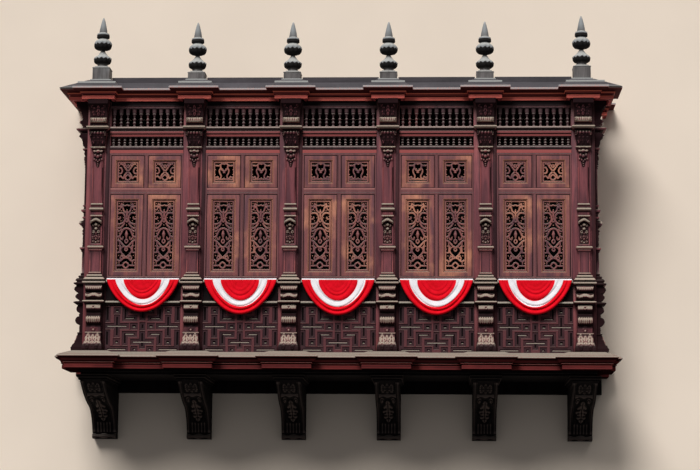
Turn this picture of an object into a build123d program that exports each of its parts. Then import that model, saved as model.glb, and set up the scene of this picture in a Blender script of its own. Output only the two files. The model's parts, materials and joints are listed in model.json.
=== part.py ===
import os
from math import cos, radians, sin, sqrt

from build123d import *

# Enclosed wooden balcony that hangs on a wall: a closed gallery of five bays with pierced shutters.
# Millimetres. +Z is up, the front faces -Y, and +X is to the right as seen from the front.
# The wall is the plane Y = 0. Z = 0 lies just under the floor, at the top of the base moulding's edge.

# Plan
bay_pitch = 1600.0          # from the axis of one pilaster to the next
bay_count = 5
post_width = 380.0          # a post, across the face
frame_face = 1470.0         # from the wall to the face of posts and window frames
inner_post_depth = 200.0    # depth of the posts between two bays
rear_post_depth = 190.0     # depth of the half posts against the wall

# Levels
base_top = 60.0             # top of the base moulding, where posts and dado panels stand
dado_ledge_bottom, dado_ledge_top = 860.0, 900.0
sill_bottom, sill_top = 1200.0, 1290.0
pedestal_top = 1745.0       # of the small pedestal that stands on the sill in each pilaster
middle_cap = 2478.0         # underside of the cap over a pilaster's carved middle
transom_bottom, transom_top = 2680.0, 2785.0
head_bottom, head_top = 3360.0, 3495.0
band_bottom, band_top = 3650.0, 3810.0
rail_bottom, rail_top = 4130.0, 4180.0
ceiling_bottom, ceiling_top = 4250.0, 4290.0

# Pilasters: half widths across the face, and how far they stand in front of the post
console_half, console_roll, console_waist = 125.0, 132.0, 78.0
console_foot_half, console_foot_depth = 165.0, 256.0
dado_ledge_half, sill_ledge_half, ledge_depth = 180.0, 190.0, 165.0
frieze_half, frieze_roll = 145.0, 150.0
pedestal_half, pedestal_depth = 94.0, 62.0
pedestal_cap_half, pedestal_cap_depth = 133.0, 96.0
shaft_half, shaft_depth = 95.0, 52.0
boss_depth = 137.0          # the carved nose in the pilaster's middle
middle_cap_half, cap_thickness = 113.0, 50.0
abacus_half, abacus_depth = 124.0, 92.0
capital_half, capital_depth = 140.0, 156.0
upper_ledge_half, upper_ledge_depth, upper_ledge_drop = 186.0, 196.0, 20.0
bracket_half, bracket_depth = 165.0, 204.0

# Shutters and their frames
frame_bar = 26.0            # fixed frame round each window
mullion_width = 66.0
frame_depth = 60.0
leaf_gap = 3.0
leaf_seat = 0.3             # a leaf stands this far over the bar that carries it
leaf_thickness = 45.0
leaf_set_back = 6.0
leaf_border = 78.0          # stiles and rails of a leaf
field_border = 44.0         # plain edge of the sunk board round its piercings
board_in_leaf = 22.0        # thickness of the sunk board

# Turned spindles
upper_spindles, lower_spindles = 11, 13
side_upper_spindles, side_lower_spindles = 8, 9
spindle_setback = 50.0      # from the frame face back to the spindles' axis
spindle_thick, spindle_thin = 66.0, 30.0
spindle_bar = 40.0          # mean thickness of the lower row's spindles
spindle_neck = 190.0        # an upper spindle is thin up to this height over its foot, then flares
rail_half_depth = 45.0      # of the rails, to each side of the spindles' axis
lip = 30.0                  # height of a small moulding
lip_reach = 12.0
band_reach = 40.0           # ledge of the band between the two rows of spindles

# Parapet
board_thickness = 40.0
ledge_reach = 80.0          # dado and sill ledges in front of the frame face
frieze_recess = 20.0        # the frieze board stands this far in front of the dado board
sill_thickness = 45.0
strap_height = 25.0         # of the strapwork that stands in front of the dado board
cross_pitch, cross_span, cross_arm = 840.0, 340.0, 60.0       # sunk crosses between the straps
cross_level = 490.0

# Cornice
cornice_top = 4413.0
block_half = 270.0          # half width of a block's fascia
block_reach = 190.0         # block fascia in front of the bays' fascia
cornice_overhang = 140.0
cornice_depth = 60.0        # of the moulding behind its fascia
side_fascia, side_block_fascia = 250.0, 500.0     # outwards from the corner axis
fascia_height = 72.0

# Roof
blocking_setback = 170.0    # from the frame face back to the board over the slope
blocking_bottom, blocking_top = 4600.0, 4690.0
blocking_thickness = 40.0
roof_top = 4650.0
plinth_half = 200.0
plinth_inset = 12.0         # the plinths' slopes start this far inside the cornice edge
roof_shell = 50.0
ceiling_setback = 60.0      # from the frame face back to the ceiling's edge

# Base
base_edge_top, base_edge_bottom, base_bottom = -20.0, -52.0, -225.0
base_block_half = 394.0
base_reach, base_block_reach = 250.0, 452.0       # fascias in front of the frame face
base_side_reach, base_side_block = 300.0, 470.0   # outwards from the corner axis
base_overhang = 106.0
base_fascia_height = 66.0
base_wall = 100.0           # thickness of the base moulding behind its fascia
soffit_step, soffit_bottom = -265.0, -300.0
soffit_reach = 1620.0
soffit_inset = 110.0

# Wall plate and corbels
plate_thickness, plate_bottom = 120.0, -500.0
corbel_width = 400.0
corbel_bottom = -1280.0
corbel_foot = 190.0         # depth of the corbel's foot
corbel_reach = 1500.0
cap_height, cap_overhang = 90.0, 60.0
roll_radius = 45.0
boss_width = 280.0

# Finials: turned radii of eight-sided work over a square pedestal
finial_tip = 5630.0
corner_lift = 88.0          # the corner finials stand on taller pedestals
finial_back = 150.0         # finial axis behind the frame face
finial_half = 147.0         # of the pedestal
finial_foot, finial_foot_height = 165.0, 30.0
finial_pedestal_top = 4776.0
finial_cap = 50.0
bulb_radius, neck_radius, collar_radius = 141.0, 36.0, 104.0

# Bunting
swag_half, swag_top, swag_drop = 595.0, 1270.0, 570.0
swag_thickness = 40.0
swag_steps = 12
cloth_clearance = 0.3

# Places that follow from the sizes above
axes_x = [(i - bay_count / 2) * bay_pitch for i in range(bay_count + 1)]
bays_x = [(i - (bay_count - 1) / 2) * bay_pitch for i in range(bay_count)]
corner_x = axes_x[-1]
side_face = corner_x + post_width / 2
corner_y = -frame_face + post_width / 2
opening_width = bay_pitch - post_width
side_opening = frame_face - post_width - rear_post_depth
side_center = -(rear_post_depth + side_opening / 2)

parts = {}


def keep(name, part):
    """Label one finished piece and remember it for export."""
    part.label = name
    parts[name] = part


def on_front(x):
    """Place of a bay's own frame (face at Y = 0, looking to -Y) in the front."""
    return Location((x, -frame_face, 0))


def on_left():
    """Place of a bay's own frame in the left side."""
    return Location((-side_face, side_center, 0), (0, 0, -90))


def on_right():
    """Place of a bay's own frame in the right side."""
    return Location((side_face, side_center, 0), (0, 0, 90))


def placed(solid, place):
    """One copy of a piece, set at a place."""
    with BuildPart() as copy:
        with Locations(place):
            add(solid)
    return copy.part


def carved_stack(front, side):
    """A carved upright, cut from a block by one template from the front and one from the side.

    front is a list of (half width, z) and side a list of (depth in front of Y = 0, z), from the foot up.
    """
    low, high = front[0][1], front[-1][1]
    widest = max(half for half, z in front)
    deepest = max(depth for depth, z in side)
    with BuildPart() as stack:
        with BuildSketch(Plane.XZ):
            Polygon(*([(0, low)] + front + [(0, high)]), align=None)
            mirror(about=Plane.YZ)
        extrude(amount=deepest)
        with BuildSketch(Plane.YZ.offset(-widest)):
            Polygon(*([(0, low)] + [(-depth, z) for depth, z in side] + [(0, high)]), align=None)
        extrude(amount=2 * widest, mode=Mode.INTERSECT)
    return stack.part


def faceted(levels, sides, turn=0.0):
    """A turned piece of few sides. levels is a list of (z, radius to a corner) from bottom to top."""
    with BuildPart() as turned:
        for (low, low_radius), (high, high_radius) in zip(levels, levels[1:]):
            with BuildSketch(Plane.XY.offset(low)):
                RegularPolygon(low_radius, sides, rotation=turn)
            with BuildSketch(Plane.XY.offset(high)):
                RegularPolygon(high_radius, sides, rotation=turn)
            loft(ruled=True)
    return turned.part


# Pilasters: on each post a scroll console, the frieze rolls, a pedestal, a carved middle, a plain shaft,
# a pendant, a capital and an upper bracket, from the base moulding up to the cornice
waist = (base_top + dado_ledge_bottom) / 2 - 80
foot_top = base_top + 150
shaft_foot = middle_cap + cap_thickness
pendant_foot = head_bottom - 240
abacus_bottom = head_bottom + 85
ledge_bottom, ledge_top = band_top - upper_ledge_drop, band_top + upper_ledge_drop
bracket_top = ceiling_bottom - 80

front_template = [
    (console_foot_half, base_top), (console_foot_half, foot_top), (console_half, waist - 80),
    (console_half, dado_ledge_bottom),
    (dado_ledge_half, dado_ledge_bottom), (dado_ledge_half, dado_ledge_top),
    (frieze_half, dado_ledge_top), (frieze_half, sill_bottom),
    (sill_ledge_half, sill_bottom), (sill_ledge_half, sill_bottom + sill_thickness),
    (abacus_half, sill_top + lip), (pedestal_half, sill_top + 3 * lip), (pedestal_half, pedestal_top),
    (pedestal_cap_half, pedestal_top), (pedestal_cap_half, pedestal_top + cap_thickness),
    (shaft_half, pedestal_top + cap_thickness), (shaft_half, middle_cap),
    (middle_cap_half, middle_cap), (middle_cap_half, shaft_foot),
    (shaft_half, shaft_foot), (shaft_half, abacus_bottom),
    (abacus_half, abacus_bottom), (abacus_half, head_top),
    (capital_half, head_top), (capital_half, ledge_bottom),
    (upper_ledge_half, ledge_bottom), (upper_ledge_half, ledge_top),
    (capital_half, ledge_top), (capital_half, bracket_top - 60),
    (bracket_half, bracket_top), (bracket_half, ceiling_bottom),
]
side_template = [
    (console_foot_depth, base_top), (console_foot_depth, foot_top), (console_waist, waist),
    (console_roll, waist + 150), (console_waist, waist + 290), (console_roll, dado_ledge_bottom),
    (ledge_depth, dado_ledge_bottom), (ledge_depth, dado_ledge_top),
    (pedestal_cap_depth, dado_ledge_top), (console_roll, dado_ledge_top + 85),
    (pedestal_cap_depth, dado_ledge_top + 140), (frieze_roll, dado_ledge_top + 200),
    (pedestal_cap_depth, sill_bottom),
    (ledge_depth, sill_bottom), (ledge_depth, sill_bottom + sill_thickness),
    (pedestal_cap_depth, sill_top + lip), (pedestal_depth, pedestal_top),
    (pedestal_cap_depth, pedestal_top), (pedestal_cap_depth, pedestal_top + cap_thickness),
    (pedestal_depth, pedestal_top + cap_thickness), (console_waist, middle_cap - 350),
    (boss_depth, middle_cap - 235), (console_waist, middle_cap - 140), (console_waist, middle_cap),
    (abacus_depth, middle_cap), (abacus_depth, shaft_foot),
    (shaft_depth, shaft_foot), (shaft_depth, pendant_foot), (console_waist, head_bottom - 60),
    (console_waist, abacus_bottom), (abacus_depth, abacus_bottom), (abacus_depth, head_top),
    (capital_depth, ledge_bottom - 50), (abacus_depth, ledge_bottom),
    (upper_ledge_depth, ledge_bottom), (upper_ledge_depth, ledge_top),
    (abacus_depth, ledge_top), (console_roll, ledge_top + 100), (abacus_depth, bracket_top - 140),
    (bracket_depth, bracket_top), (bracket_depth, ceiling_bottom),
]
ornament = carved_stack(front_template, side_template)

for number, x in enumerate(axes_x, 1):
    corner = number in (1, len(axes_x))
    outward = 1 if x > 0 else -1
    with BuildPart() as pilaster:
        depth = post_width if corner else inner_post_depth
        with Locations((x, -frame_face, base_top)):
            Box(post_width, depth, ceiling_bottom - base_top, align=(Align.CENTER, Align.MIN, Align.MIN))
        with Locations((x, -frame_face, 0)):
            add(ornament)
        if corner:
            with Locations(Location((outward * side_face, corner_y, 0), (0, 0, 90 * outward))):
                add(ornament)
    keep(f"pilaster_{number}", pilaster.part)

for side, outward in (("left", -1), ("right", 1)):
    with BuildPart() as rear:
        with Locations((outward * corner_x, 0, base_top)):
            Box(post_width, rear_post_depth, ceiling_bottom - base_top,
                align=(Align.CENTER, Align.MAX, Align.MIN))
        with Locations(Location((outward * side_face, 0, 0), (0, 0, 90 * outward))):
            add(ornament)
        split(bisect_by=Plane.XZ, keep=Keep.TOP)
    keep(f"rear_pilaster_{side}", rear.part)


def parapet_panel(width, crosses):
    """Dado board with sunk crosses side by side, the dado ledge, the frieze board and the sill."""
    with BuildPart() as panel:
        with BuildSketch(Plane.YZ.offset(-width / 2)):
            with BuildLine():
                Polyline((board_thickness, base_top), (-strap_height, base_top),
                         (-strap_height, dado_ledge_bottom - lip),
                         (-ledge_reach, dado_ledge_bottom), (-ledge_reach, dado_ledge_top),
                         (-frieze_recess, dado_ledge_top + lip_reach), (-frieze_recess, sill_bottom - lip),
                         (-ledge_reach, sill_bottom), (-ledge_reach, sill_bottom + sill_thickness),
                         (-frieze_recess, sill_bottom + sill_thickness + lip_reach),
                         (-frieze_recess, sill_top), (board_thickness, sill_top), close=True)
            make_face()
        extrude(amount=width)
        with BuildSketch(Plane.XZ):
            with Locations((0, cross_level)):
                with GridLocations(cross_pitch, 0, crosses, 1):
                    Rectangle(cross_arm, cross_span)
                    Rectangle(cross_span, cross_arm)
        extrude(amount=strap_height, mode=Mode.SUBTRACT)
    return panel.part


def window_frame(width):
    """Fixed frame of one bay's window: jambs, sill bar, transom, head and mullion."""
    low, high = sill_top, head_bottom
    leaf_opening = (width - 2 * frame_bar - mullion_width) / 2
    with BuildPart() as frame:
        with BuildSketch(Plane.XZ.offset(-frame_depth)):
            with Locations((0, (low + high) / 2)):
                Rectangle(width, high - low)
            for x in (-(leaf_opening + mullion_width) / 2, (leaf_opening + mullion_width) / 2):
                for bottom, top in ((low + frame_bar, transom_bottom), (transom_top, high - frame_bar)):
                    with Locations((x, (bottom + top) / 2)):
                        Rectangle(leaf_opening, top - bottom, mode=Mode.SUBTRACT)
        extrude(amount=frame_depth)
    return frame.part


def both_sides(points):
    """An opening and its mirror image about the field's middle."""
    return [points, [(-x, y) for x, y in reversed(points)]]


def tall_piercings(w, h):
    """Openings of a tall shutter's arabesque, in a field of half width w and height h from its foot."""
    bowl = [(-0.46 * w, 0.32 * h), (0, 0.2 * h), (0.46 * w, 0.32 * h)]
    arch = [(0, 0.4 * h), (0.45 * w, 0.46 * h), (0, 0.58 * h), (-0.45 * w, 0.46 * h)]
    diamond = [(0, 0.61 * h), (0.3 * w, 0.65 * h), (0, 0.69 * h), (-0.3 * w, 0.65 * h)]
    crescent = [(-0.42 * w, 0.96 * h), (-0.22 * w, 0.87 * h), (0.22 * w, 0.87 * h), (0.42 * w, 0.96 * h)]
    foot = [(0.4 * w, 0.15 * h), (0.95 * w, 0.03 * h), (0.9 * w, 0.18 * h)]
    curl = [(0.4 * w, 0.77 * h), (0.8 * w, 0.69 * h), (0.8 * w, 0.85 * h)]
    return [bowl, arch, diamond, crescent, *both_sides(foot), *both_sides(curl)]


def small_piercings(w, h):
    """Openings of a small shutter: a heart over a bar, between two loops."""
    heart = [(0, 0.55 * h), (0.3 * w, 0.85 * h), (0, 0.95 * h), (-0.3 * w, 0.85 * h)]
    bar = [(-0.6 * w, 0.06 * h), (0.6 * w, 0.06 * h), (0, 0.35 * h)]
    loop = [(0.5 * w, 0.35 * h), (0.9 * w, 0.55 * h), (0.6 * w, 0.95 * h)]
    return [heart, bar, *both_sides(loop)]


def leaf(width, height, piercings):
    """One shutter: stiles and rails round a sunk board with its piercings, face at Y = 0."""
    field_width = width - 2 * (leaf_border + field_border)
    field_height = height - 2 * (leaf_border + field_border)
    with BuildPart() as shutter:
        with BuildSketch(Plane.XZ.offset(-leaf_thickness)):
            Rectangle(width, height)
            Rectangle(width - 2 * leaf_border, height - 2 * leaf_border, mode=Mode.SUBTRACT)
        extrude(amount=leaf_thickness)
        with BuildSketch(Plane.XZ.offset(-leaf_thickness)):
            Rectangle(width - 2 * leaf_border, height - 2 * leaf_border)
            with Locations((0, -field_height / 2)):
                for opening in piercings(field_width / 2, field_height):
                    Polygon(*opening, align=None, mode=Mode.SUBTRACT)
        extrude(amount=board_in_leaf)
    return shutter.part


def shutters(width):
    """The four shutters of one bay, two tall ones under two small ones."""
    leaf_width = (width - 2 * frame_bar - mullion_width) / 2 - 2 * leaf_gap
    x = (leaf_width + mullion_width) / 2 + leaf_gap
    low = sill_top + frame_bar + leaf_seat
    tall = transom_bottom - leaf_gap - low
    foot = transom_top + leaf_seat
    small = head_bottom - frame_bar - leaf_gap - foot
    with BuildPart() as set_of_four:
        with Locations((-x, leaf_set_back, low + tall / 2), (x, leaf_set_back, low + tall / 2)):
            add(leaf(leaf_width, tall, tall_piercings))
        with Locations((-x, leaf_set_back, foot + small / 2), (x, leaf_set_back, foot + small / 2)):
            add(leaf(leaf_width, small, small_piercings))
    return set_of_four.part


def spindle_screen(width, upper_count, lower_count):
    """The two rows of spindles of one bay, with their rails and the moulded band between them."""
    back = spindle_setback + rail_half_depth
    thin, head, bar = [thickness / sqrt(2) for thickness in (spindle_thin, spindle_thick, spindle_bar)]
    upper = faceted([(band_top, thin), (band_top + spindle_neck, thin), (rail_bottom, head)], 4, 45)
    lower = faceted([(head_top, bar), (band_bottom, bar)], 4, 45)
    with BuildPart() as screen:
        with BuildSketch(Plane.YZ.offset(-width / 2)):
            with BuildLine():
                Polyline((back, head_bottom), (0, head_bottom), (-lip_reach, head_bottom + lip),
                         (-lip_reach, head_top - lip), (lip_reach, head_top), (back, head_top), close=True)
            make_face()
            with BuildLine():
                Polyline((back, band_bottom), (0, band_bottom), (-2 * lip_reach, band_bottom + 2 * lip),
                         (-lip_reach, band_top - 1.5 * lip), (-band_reach, band_top - lip),
                         (-band_reach, band_top), (back, band_top), close=True)
            make_face()
            with BuildLine():
                Polyline((back, rail_bottom), (0, rail_bottom), (0, rail_top), (lip, rail_top),
                         (lip, ceiling_bottom), (back, ceiling_bottom), close=True)
            make_face()
        extrude(amount=width)
        with Locations((0, spindle_setback, 0)):
            with GridLocations(width / upper_count, 0, upper_count, 1):
                add(upper)
            with GridLocations(width / lower_count, 0, lower_count, 1):
                add(lower)
    return screen.part


front_places = [on_front(x) for x in bays_x]
bay_panel = parapet_panel(opening_width, 2)
bay_shutters = shutters(opening_width)
bay_screen = spindle_screen(opening_width, upper_spindles, lower_spindles)
side_panel = parapet_panel(side_opening, 1)
side_shutters = shutters(side_opening)
side_screen = spindle_screen(side_opening, side_upper_spindles, side_lower_spindles)

for number, place in enumerate(front_places, 1):
    keep(f"parapet_panel_{number}", placed(bay_panel, place))
    keep(f"shutters_{number}", placed(bay_shutters, place))
    keep(f"spindle_screen_{number}", placed(bay_screen, place))
for side, place in (("left", on_left()), ("right", on_right())):
    keep(f"parapet_panel_{side}", placed(side_panel, place))
    keep(f"shutters_{side}", placed(side_shutters, place))
    keep(f"spindle_screen_{side}", placed(side_screen, place))
    keep(f"window_frame_{side}", placed(window_frame(side_opening), place))

with BuildPart() as window_frames:
    with Locations(*front_places):
        add(window_frame(opening_width))
keep("window_frames_front", window_frames.part)


def stepped_plan(face, reach, half, side_recess, side_block):
    """Plan line of a fascia that steps forward over every pilaster, from wall to wall round the front.

    face is the bays' fascia in front of the wall, and reach how far the blocks stand in front of that.
    half is a block's half width. side_recess and side_block count outwards from the corner axis.
    """
    front = -(face + reach)
    recess, block = corner_x + side_recess, corner_x + side_block
    left = [(-block, 0), (-block, -half), (-recess, -half), (-recess, corner_y + half),
            (-block, corner_y + half), (-block, corner_y - half), (-(corner_x + half), corner_y - half),
            (-(corner_x + half), front)]
    middle = []
    for x in bays_x:
        edge = bay_pitch / 2 - half
        middle += [(x - edge, front), (x - edge, -face), (x + edge, -face), (x + edge, front)]
    right = [(-x, y) for x, y in reversed(left)]
    return left + middle + right


def moulding(plan, section):
    """A moulding run along a plan line with mitred corners. section is (outwards, z) points."""
    start = plan[0]
    with BuildPart() as run:
        with BuildLine() as path:
            Polyline(*[(x, y, 0) for x, y in plan])
        with BuildSketch(Plane(origin=(start[0], start[1], 0), x_dir=(-1, 0, 0), z_dir=(0, 1, 0))):
            Polygon(*section, align=None)
        sweep(path=path.line, transition=Transition.RIGHT)
    return run.part


cornice_plan = stepped_plan(frame_face, block_reach, block_half, side_fascia, side_block_fascia)
cornice_section = [
    (-cornice_depth, ceiling_bottom), (0, ceiling_bottom), (0, ceiling_bottom + fascia_height),
    (cornice_overhang * 0.35, ceiling_bottom + fascia_height), (cornice_overhang, cornice_top - lip),
    (cornice_overhang, cornice_top), (-cornice_depth, cornice_top + cornice_depth),
]
keep("cornice", moulding(cornice_plan, cornice_section))

base_plan = stepped_plan(frame_face + base_reach, base_block_reach - base_reach, base_block_half,
                         base_side_reach, base_side_block)
base_section = [
    (-base_wall, base_bottom), (0, base_bottom), (0, base_bottom + base_fascia_height),
    (base_overhang * 0.8, base_edge_bottom), (base_overhang, base_edge_bottom),
    (base_overhang, base_edge_top), (-base_wall, base_top),
]
keep("base_cornice", moulding(base_plan, base_section))

deck_plan = stepped_plan(frame_face + base_reach - base_wall, base_block_reach - base_reach,
                         base_block_half - base_wall, base_side_reach - base_wall,
                         base_side_block - base_wall)
with BuildPart() as floor_deck:
    with BuildSketch(Plane.XY.offset(base_bottom)):
        Polygon(*deck_plan, align=None)
    extrude(amount=base_top - base_bottom)
    Box(3 * corner_x, 2 * plate_thickness, 4 * abs(base_bottom), mode=Mode.SUBTRACT)
keep("floor_deck", floor_deck.part)

# Two stepped boards under the floor, and the plate that is bolted to the wall
with BuildPart() as soffit:
    for reach, low, high in ((soffit_reach, soffit_step, base_bottom),
                             (soffit_reach - soffit_inset, soffit_bottom, soffit_step)):
        with BuildSketch(Plane.XY.offset(low)):
            with Locations((0, -plate_thickness)):
                Rectangle(2 * (corner_x + base_side_reach - soffit_inset), reach - plate_thickness,
                          align=(Align.CENTER, Align.MAX))
        extrude(amount=high - low)
keep("soffit", soffit.part)

with BuildPart() as wall_plate:
    with Locations((0, 0, plate_bottom)):
        Box(2 * (corner_x + base_side_block - base_wall), plate_thickness, base_top - plate_bottom,
            align=(Align.CENTER, Align.MAX, Align.MIN))
keep("wall_plate", wall_plate.part)


def corbel():
    """Bracket under the floor: an S-shaped front that sweeps back to the wall, a cap and two rolls."""
    cap_bottom = soffit_bottom - cap_height
    neck = (-corbel_foot, corbel_bottom + 2 * roll_radius)
    turn = (-0.43 * corbel_reach, (cap_bottom + neck[1]) / 2 + roll_radius)
    with BuildPart() as bracket:
        with BuildSketch(Plane.YZ.offset(-corbel_width / 2)):
            with BuildLine():
                Polyline((-corbel_reach, cap_bottom), (-corbel_reach, soffit_bottom),
                         (-plate_thickness, soffit_bottom), (-plate_thickness, plate_bottom),
                         (0, plate_bottom), (0, corbel_bottom), (-corbel_foot, corbel_bottom), neck)
                SagittaArc(neck, turn, -2 * roll_radius)
                SagittaArc(turn, (-corbel_reach, cap_bottom), roll_radius)
            make_face()
        extrude(amount=corbel_width)
        for step, overhang in ((1, cap_overhang), (2, cap_overhang / 2)):
            with Locations((0, -plate_thickness, soffit_bottom - step * cap_height / 2)):
                Box(corbel_width + 2 * overhang, corbel_reach + overhang - plate_thickness, cap_height / 2,
                    align=(Align.CENTER, Align.MAX, Align.MIN))
        for y, z, width in ((-corbel_foot, corbel_bottom + roll_radius, corbel_width),
                            (-0.75 * corbel_reach, cap_bottom - 4.4 * roll_radius, boss_width)):
            with BuildSketch(Plane.YZ.offset(-width / 2)):
                with Locations((y, z)):
                    RegularPolygon(roll_radius, 8)
            extrude(amount=width)
    return bracket.part


def finial(lift):
    """Finial: a square pedestal, two bulbs, a collar and a spire. lift is how much taller its pedestal is."""
    pedestal = finial_pedestal_top + lift
    low = pedestal + finial_cap
    levels = [(low, collar_radius), (low + 35, bulb_radius), (low + 125, bulb_radius),
              (low + 225, neck_radius), (low + 265, bulb_radius * 0.88), (low + 370, bulb_radius),
              (low + 440, neck_radius * 2.2), (low + 455, collar_radius), (low + 520, collar_radius),
              (finial_tip + lift, neck_radius / 12)]
    turned = faceted(levels, 8, 22.5)
    with BuildPart() as whole:
        for size, bottom, top in ((finial_foot, blocking_bottom, blocking_bottom + finial_foot_height),
                                  (finial_half, blocking_bottom + finial_foot_height, pedestal),
                                  (0.76 * finial_half, pedestal, low)):
            with Locations((0, 0, bottom)):
                Box(2 * size, 2 * size, top - bottom, align=(Align.CENTER, Align.CENTER, Align.MIN))
        add(turned)
    return whole.part


corbel_solid = corbel()
inner_finial, corner_finial = finial(0), finial(corner_lift)
finial_y = -(frame_face - finial_back)
for number, x in enumerate(axes_x, 1):
    keep(f"corbel_{number}", placed(corbel_solid, Location((x, 0, 0))))
    tall = number in (1, len(axes_x))
    keep(f"finial_{number}", placed(corner_finial if tall else inner_finial, Location((x, finial_y, 0))))

# Ceiling boards, and the roof over them: a hipped edge, a blocking board and a plinth under each finial
ceiling_reach = frame_face - ceiling_setback
with BuildPart() as ceiling:
    with Locations((0, 0, ceiling_bottom)):
        Box(2 * side_face, ceiling_reach, ceiling_top - ceiling_bottom,
            align=(Align.CENTER, Align.MAX, Align.MIN))
keep("ceiling", ceiling.part)

eaves = cornice_top + cornice_depth
blocking_y = frame_face - blocking_setback
blocking_x = side_face - blocking_setback + side_fascia / 2
inner_x, inner_y = blocking_x - blocking_thickness, blocking_y - blocking_thickness


def wall_side(half, depth):
    """A rectangle with its back on the wall."""
    Rectangle(2 * half, depth, align=(Align.CENTER, Align.MAX))


with BuildPart() as roof:
    with BuildSketch(Plane.XY.offset(ceiling_top)):
        wall_side(side_face, ceiling_reach)
    extrude(amount=eaves - ceiling_top)
    with BuildSketch(Plane.XY.offset(eaves)):
        wall_side(corner_x + side_fascia - cornice_depth, ceiling_reach)
    with BuildSketch(Plane.XY.offset(blocking_bottom)):
        wall_side(blocking_x, blocking_y)
    loft(ruled=True)
    with BuildSketch(Plane.XY.offset(blocking_bottom)):
        wall_side(blocking_x, blocking_y)
    extrude(amount=blocking_top - blocking_bottom)
    with BuildSketch(Plane.XY.offset(roof_top)):
        wall_side(inner_x, inner_y)
    extrude(amount=blocking_top, mode=Mode.SUBTRACT)
    with BuildSketch(Plane.XY.offset(ceiling_top)):
        with Locations((0, -roof_shell)):
            wall_side(inner_x - roof_shell, inner_y - 2 * roof_shell)
    extrude(amount=roof_top - roof_shell - ceiling_top, mode=Mode.SUBTRACT)
    for number, x in enumerate(axes_x, 1):
        outward = {1: -1, len(axes_x): 1}.get(number, 0)
        inner = block_half + cornice_overhang - plinth_inset
        outer = side_block_fascia + cornice_overhang - plinth_inset
        west = outer if outward < 0 else inner
        east = outer if outward > 0 else inner
        front = frame_face + block_reach + cornice_overhang - plinth_inset
        back = frame_face - finial_back - ceiling_setback
        with BuildSketch(Plane.XY.offset(cornice_top + plinth_inset / 3)):
            with Locations((x + (east - west) / 2, -(front + back) / 2)):
                Rectangle(west + east, front - back)
        with BuildSketch(Plane.XY.offset(blocking_bottom)):
            with Locations((x, finial_y)):
                Rectangle(2 * plinth_half, 2 * plinth_half)
        loft(ruled=True)
    add(parts["cornice"], mode=Mode.SUBTRACT)
    with Locations(*[(x, finial_y, blocking_bottom) for x in axes_x]):
        Box(2 * finial_foot, 2 * finial_foot, blocking_top, mode=Mode.SUBTRACT,
            align=(Align.CENTER, Align.CENTER, Align.MIN))
keep("roof", roof.part)


def swag_outline():
    """Half round of cloth: its drop is the mean of an ellipse's and a parabola's over the same width."""
    points = []
    for k in range(swag_steps + 1):
        t = cos(radians(180 * k / swag_steps))
        points.append((swag_half * t, -swag_drop * (1 - t * t + sqrt(max(0.0, 1 - t * t))) / 2))
    return points


# Bunting: a half round of cloth under each window of the front, modelled as one closed body
with BuildPart() as bunting:
    with BuildSketch(Plane.XZ.offset(frame_face + ledge_reach + cloth_clearance)):
        with Locations(*[(x, swag_top) for x in bays_x]):
            Polygon(*swag_outline(), align=None)
    extrude(amount=swag_thickness)
keep("bunting", bunting.part)

os.makedirs("parts", exist_ok=True)
for name, part in parts.items():
    export_step(part, f"parts/{name}.step")
    print(name, len(part.solids()), round(part.volume / 1e9, 4), [round(v) for v in part.bounding_box().size])
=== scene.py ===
import json
from math import cos, pi, radians, sin

import bpy
import numpy as np
from mathutils import Matrix, Vector

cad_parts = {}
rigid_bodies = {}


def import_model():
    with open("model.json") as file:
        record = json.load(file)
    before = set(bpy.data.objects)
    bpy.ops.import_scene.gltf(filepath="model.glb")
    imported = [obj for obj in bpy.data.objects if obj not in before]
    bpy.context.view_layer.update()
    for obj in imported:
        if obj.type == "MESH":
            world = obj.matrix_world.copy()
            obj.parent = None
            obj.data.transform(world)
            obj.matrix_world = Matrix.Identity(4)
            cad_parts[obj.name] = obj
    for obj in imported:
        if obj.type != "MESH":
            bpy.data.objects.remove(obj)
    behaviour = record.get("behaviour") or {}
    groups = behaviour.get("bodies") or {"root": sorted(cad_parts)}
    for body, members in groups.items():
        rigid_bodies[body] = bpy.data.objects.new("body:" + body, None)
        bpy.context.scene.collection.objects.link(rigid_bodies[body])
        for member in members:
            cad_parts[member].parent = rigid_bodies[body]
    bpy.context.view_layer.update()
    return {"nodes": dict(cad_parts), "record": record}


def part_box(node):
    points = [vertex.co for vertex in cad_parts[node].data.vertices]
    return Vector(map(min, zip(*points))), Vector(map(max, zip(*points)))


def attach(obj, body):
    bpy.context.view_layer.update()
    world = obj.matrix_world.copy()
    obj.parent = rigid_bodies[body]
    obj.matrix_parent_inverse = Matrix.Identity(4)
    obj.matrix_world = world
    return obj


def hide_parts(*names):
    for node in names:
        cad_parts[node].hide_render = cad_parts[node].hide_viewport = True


# Enclosed wooden balcony on a wall. Metres, +Z up, the front faces -Y, the wall is the plane Y = 0.
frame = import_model()
nodes = frame["nodes"]

# Places and levels, read from the CAD nodes
front_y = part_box("window_frames_front")[0][1]
sill_top, head_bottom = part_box("window_frames_front")[0][2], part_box("window_frames_front")[1][2]
base_top, ceiling_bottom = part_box("parapet_panel_3")[0][2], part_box("ceiling")[0][2]
bays_x = [sum(corner[0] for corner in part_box(f"shutters_{n}")) / 2 for n in range(1, 6)]
axes_x = [sum(corner[0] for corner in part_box(f"corbel_{n}")) / 2 for n in range(1, 7)]
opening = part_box("window_frames_front")[1][0] - bays_x[-1]
side_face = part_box("ceiling")[1][0]
side_low, side_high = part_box("window_frame_right")
side_opening = (side_high[1] - side_low[1]) / 2
side_y = (side_high[1] + side_low[1]) / 2
post_half = side_face - axes_x[-1]
axis_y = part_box("finial_3")[0][1] / 2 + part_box("finial_3")[1][1] / 2

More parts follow.
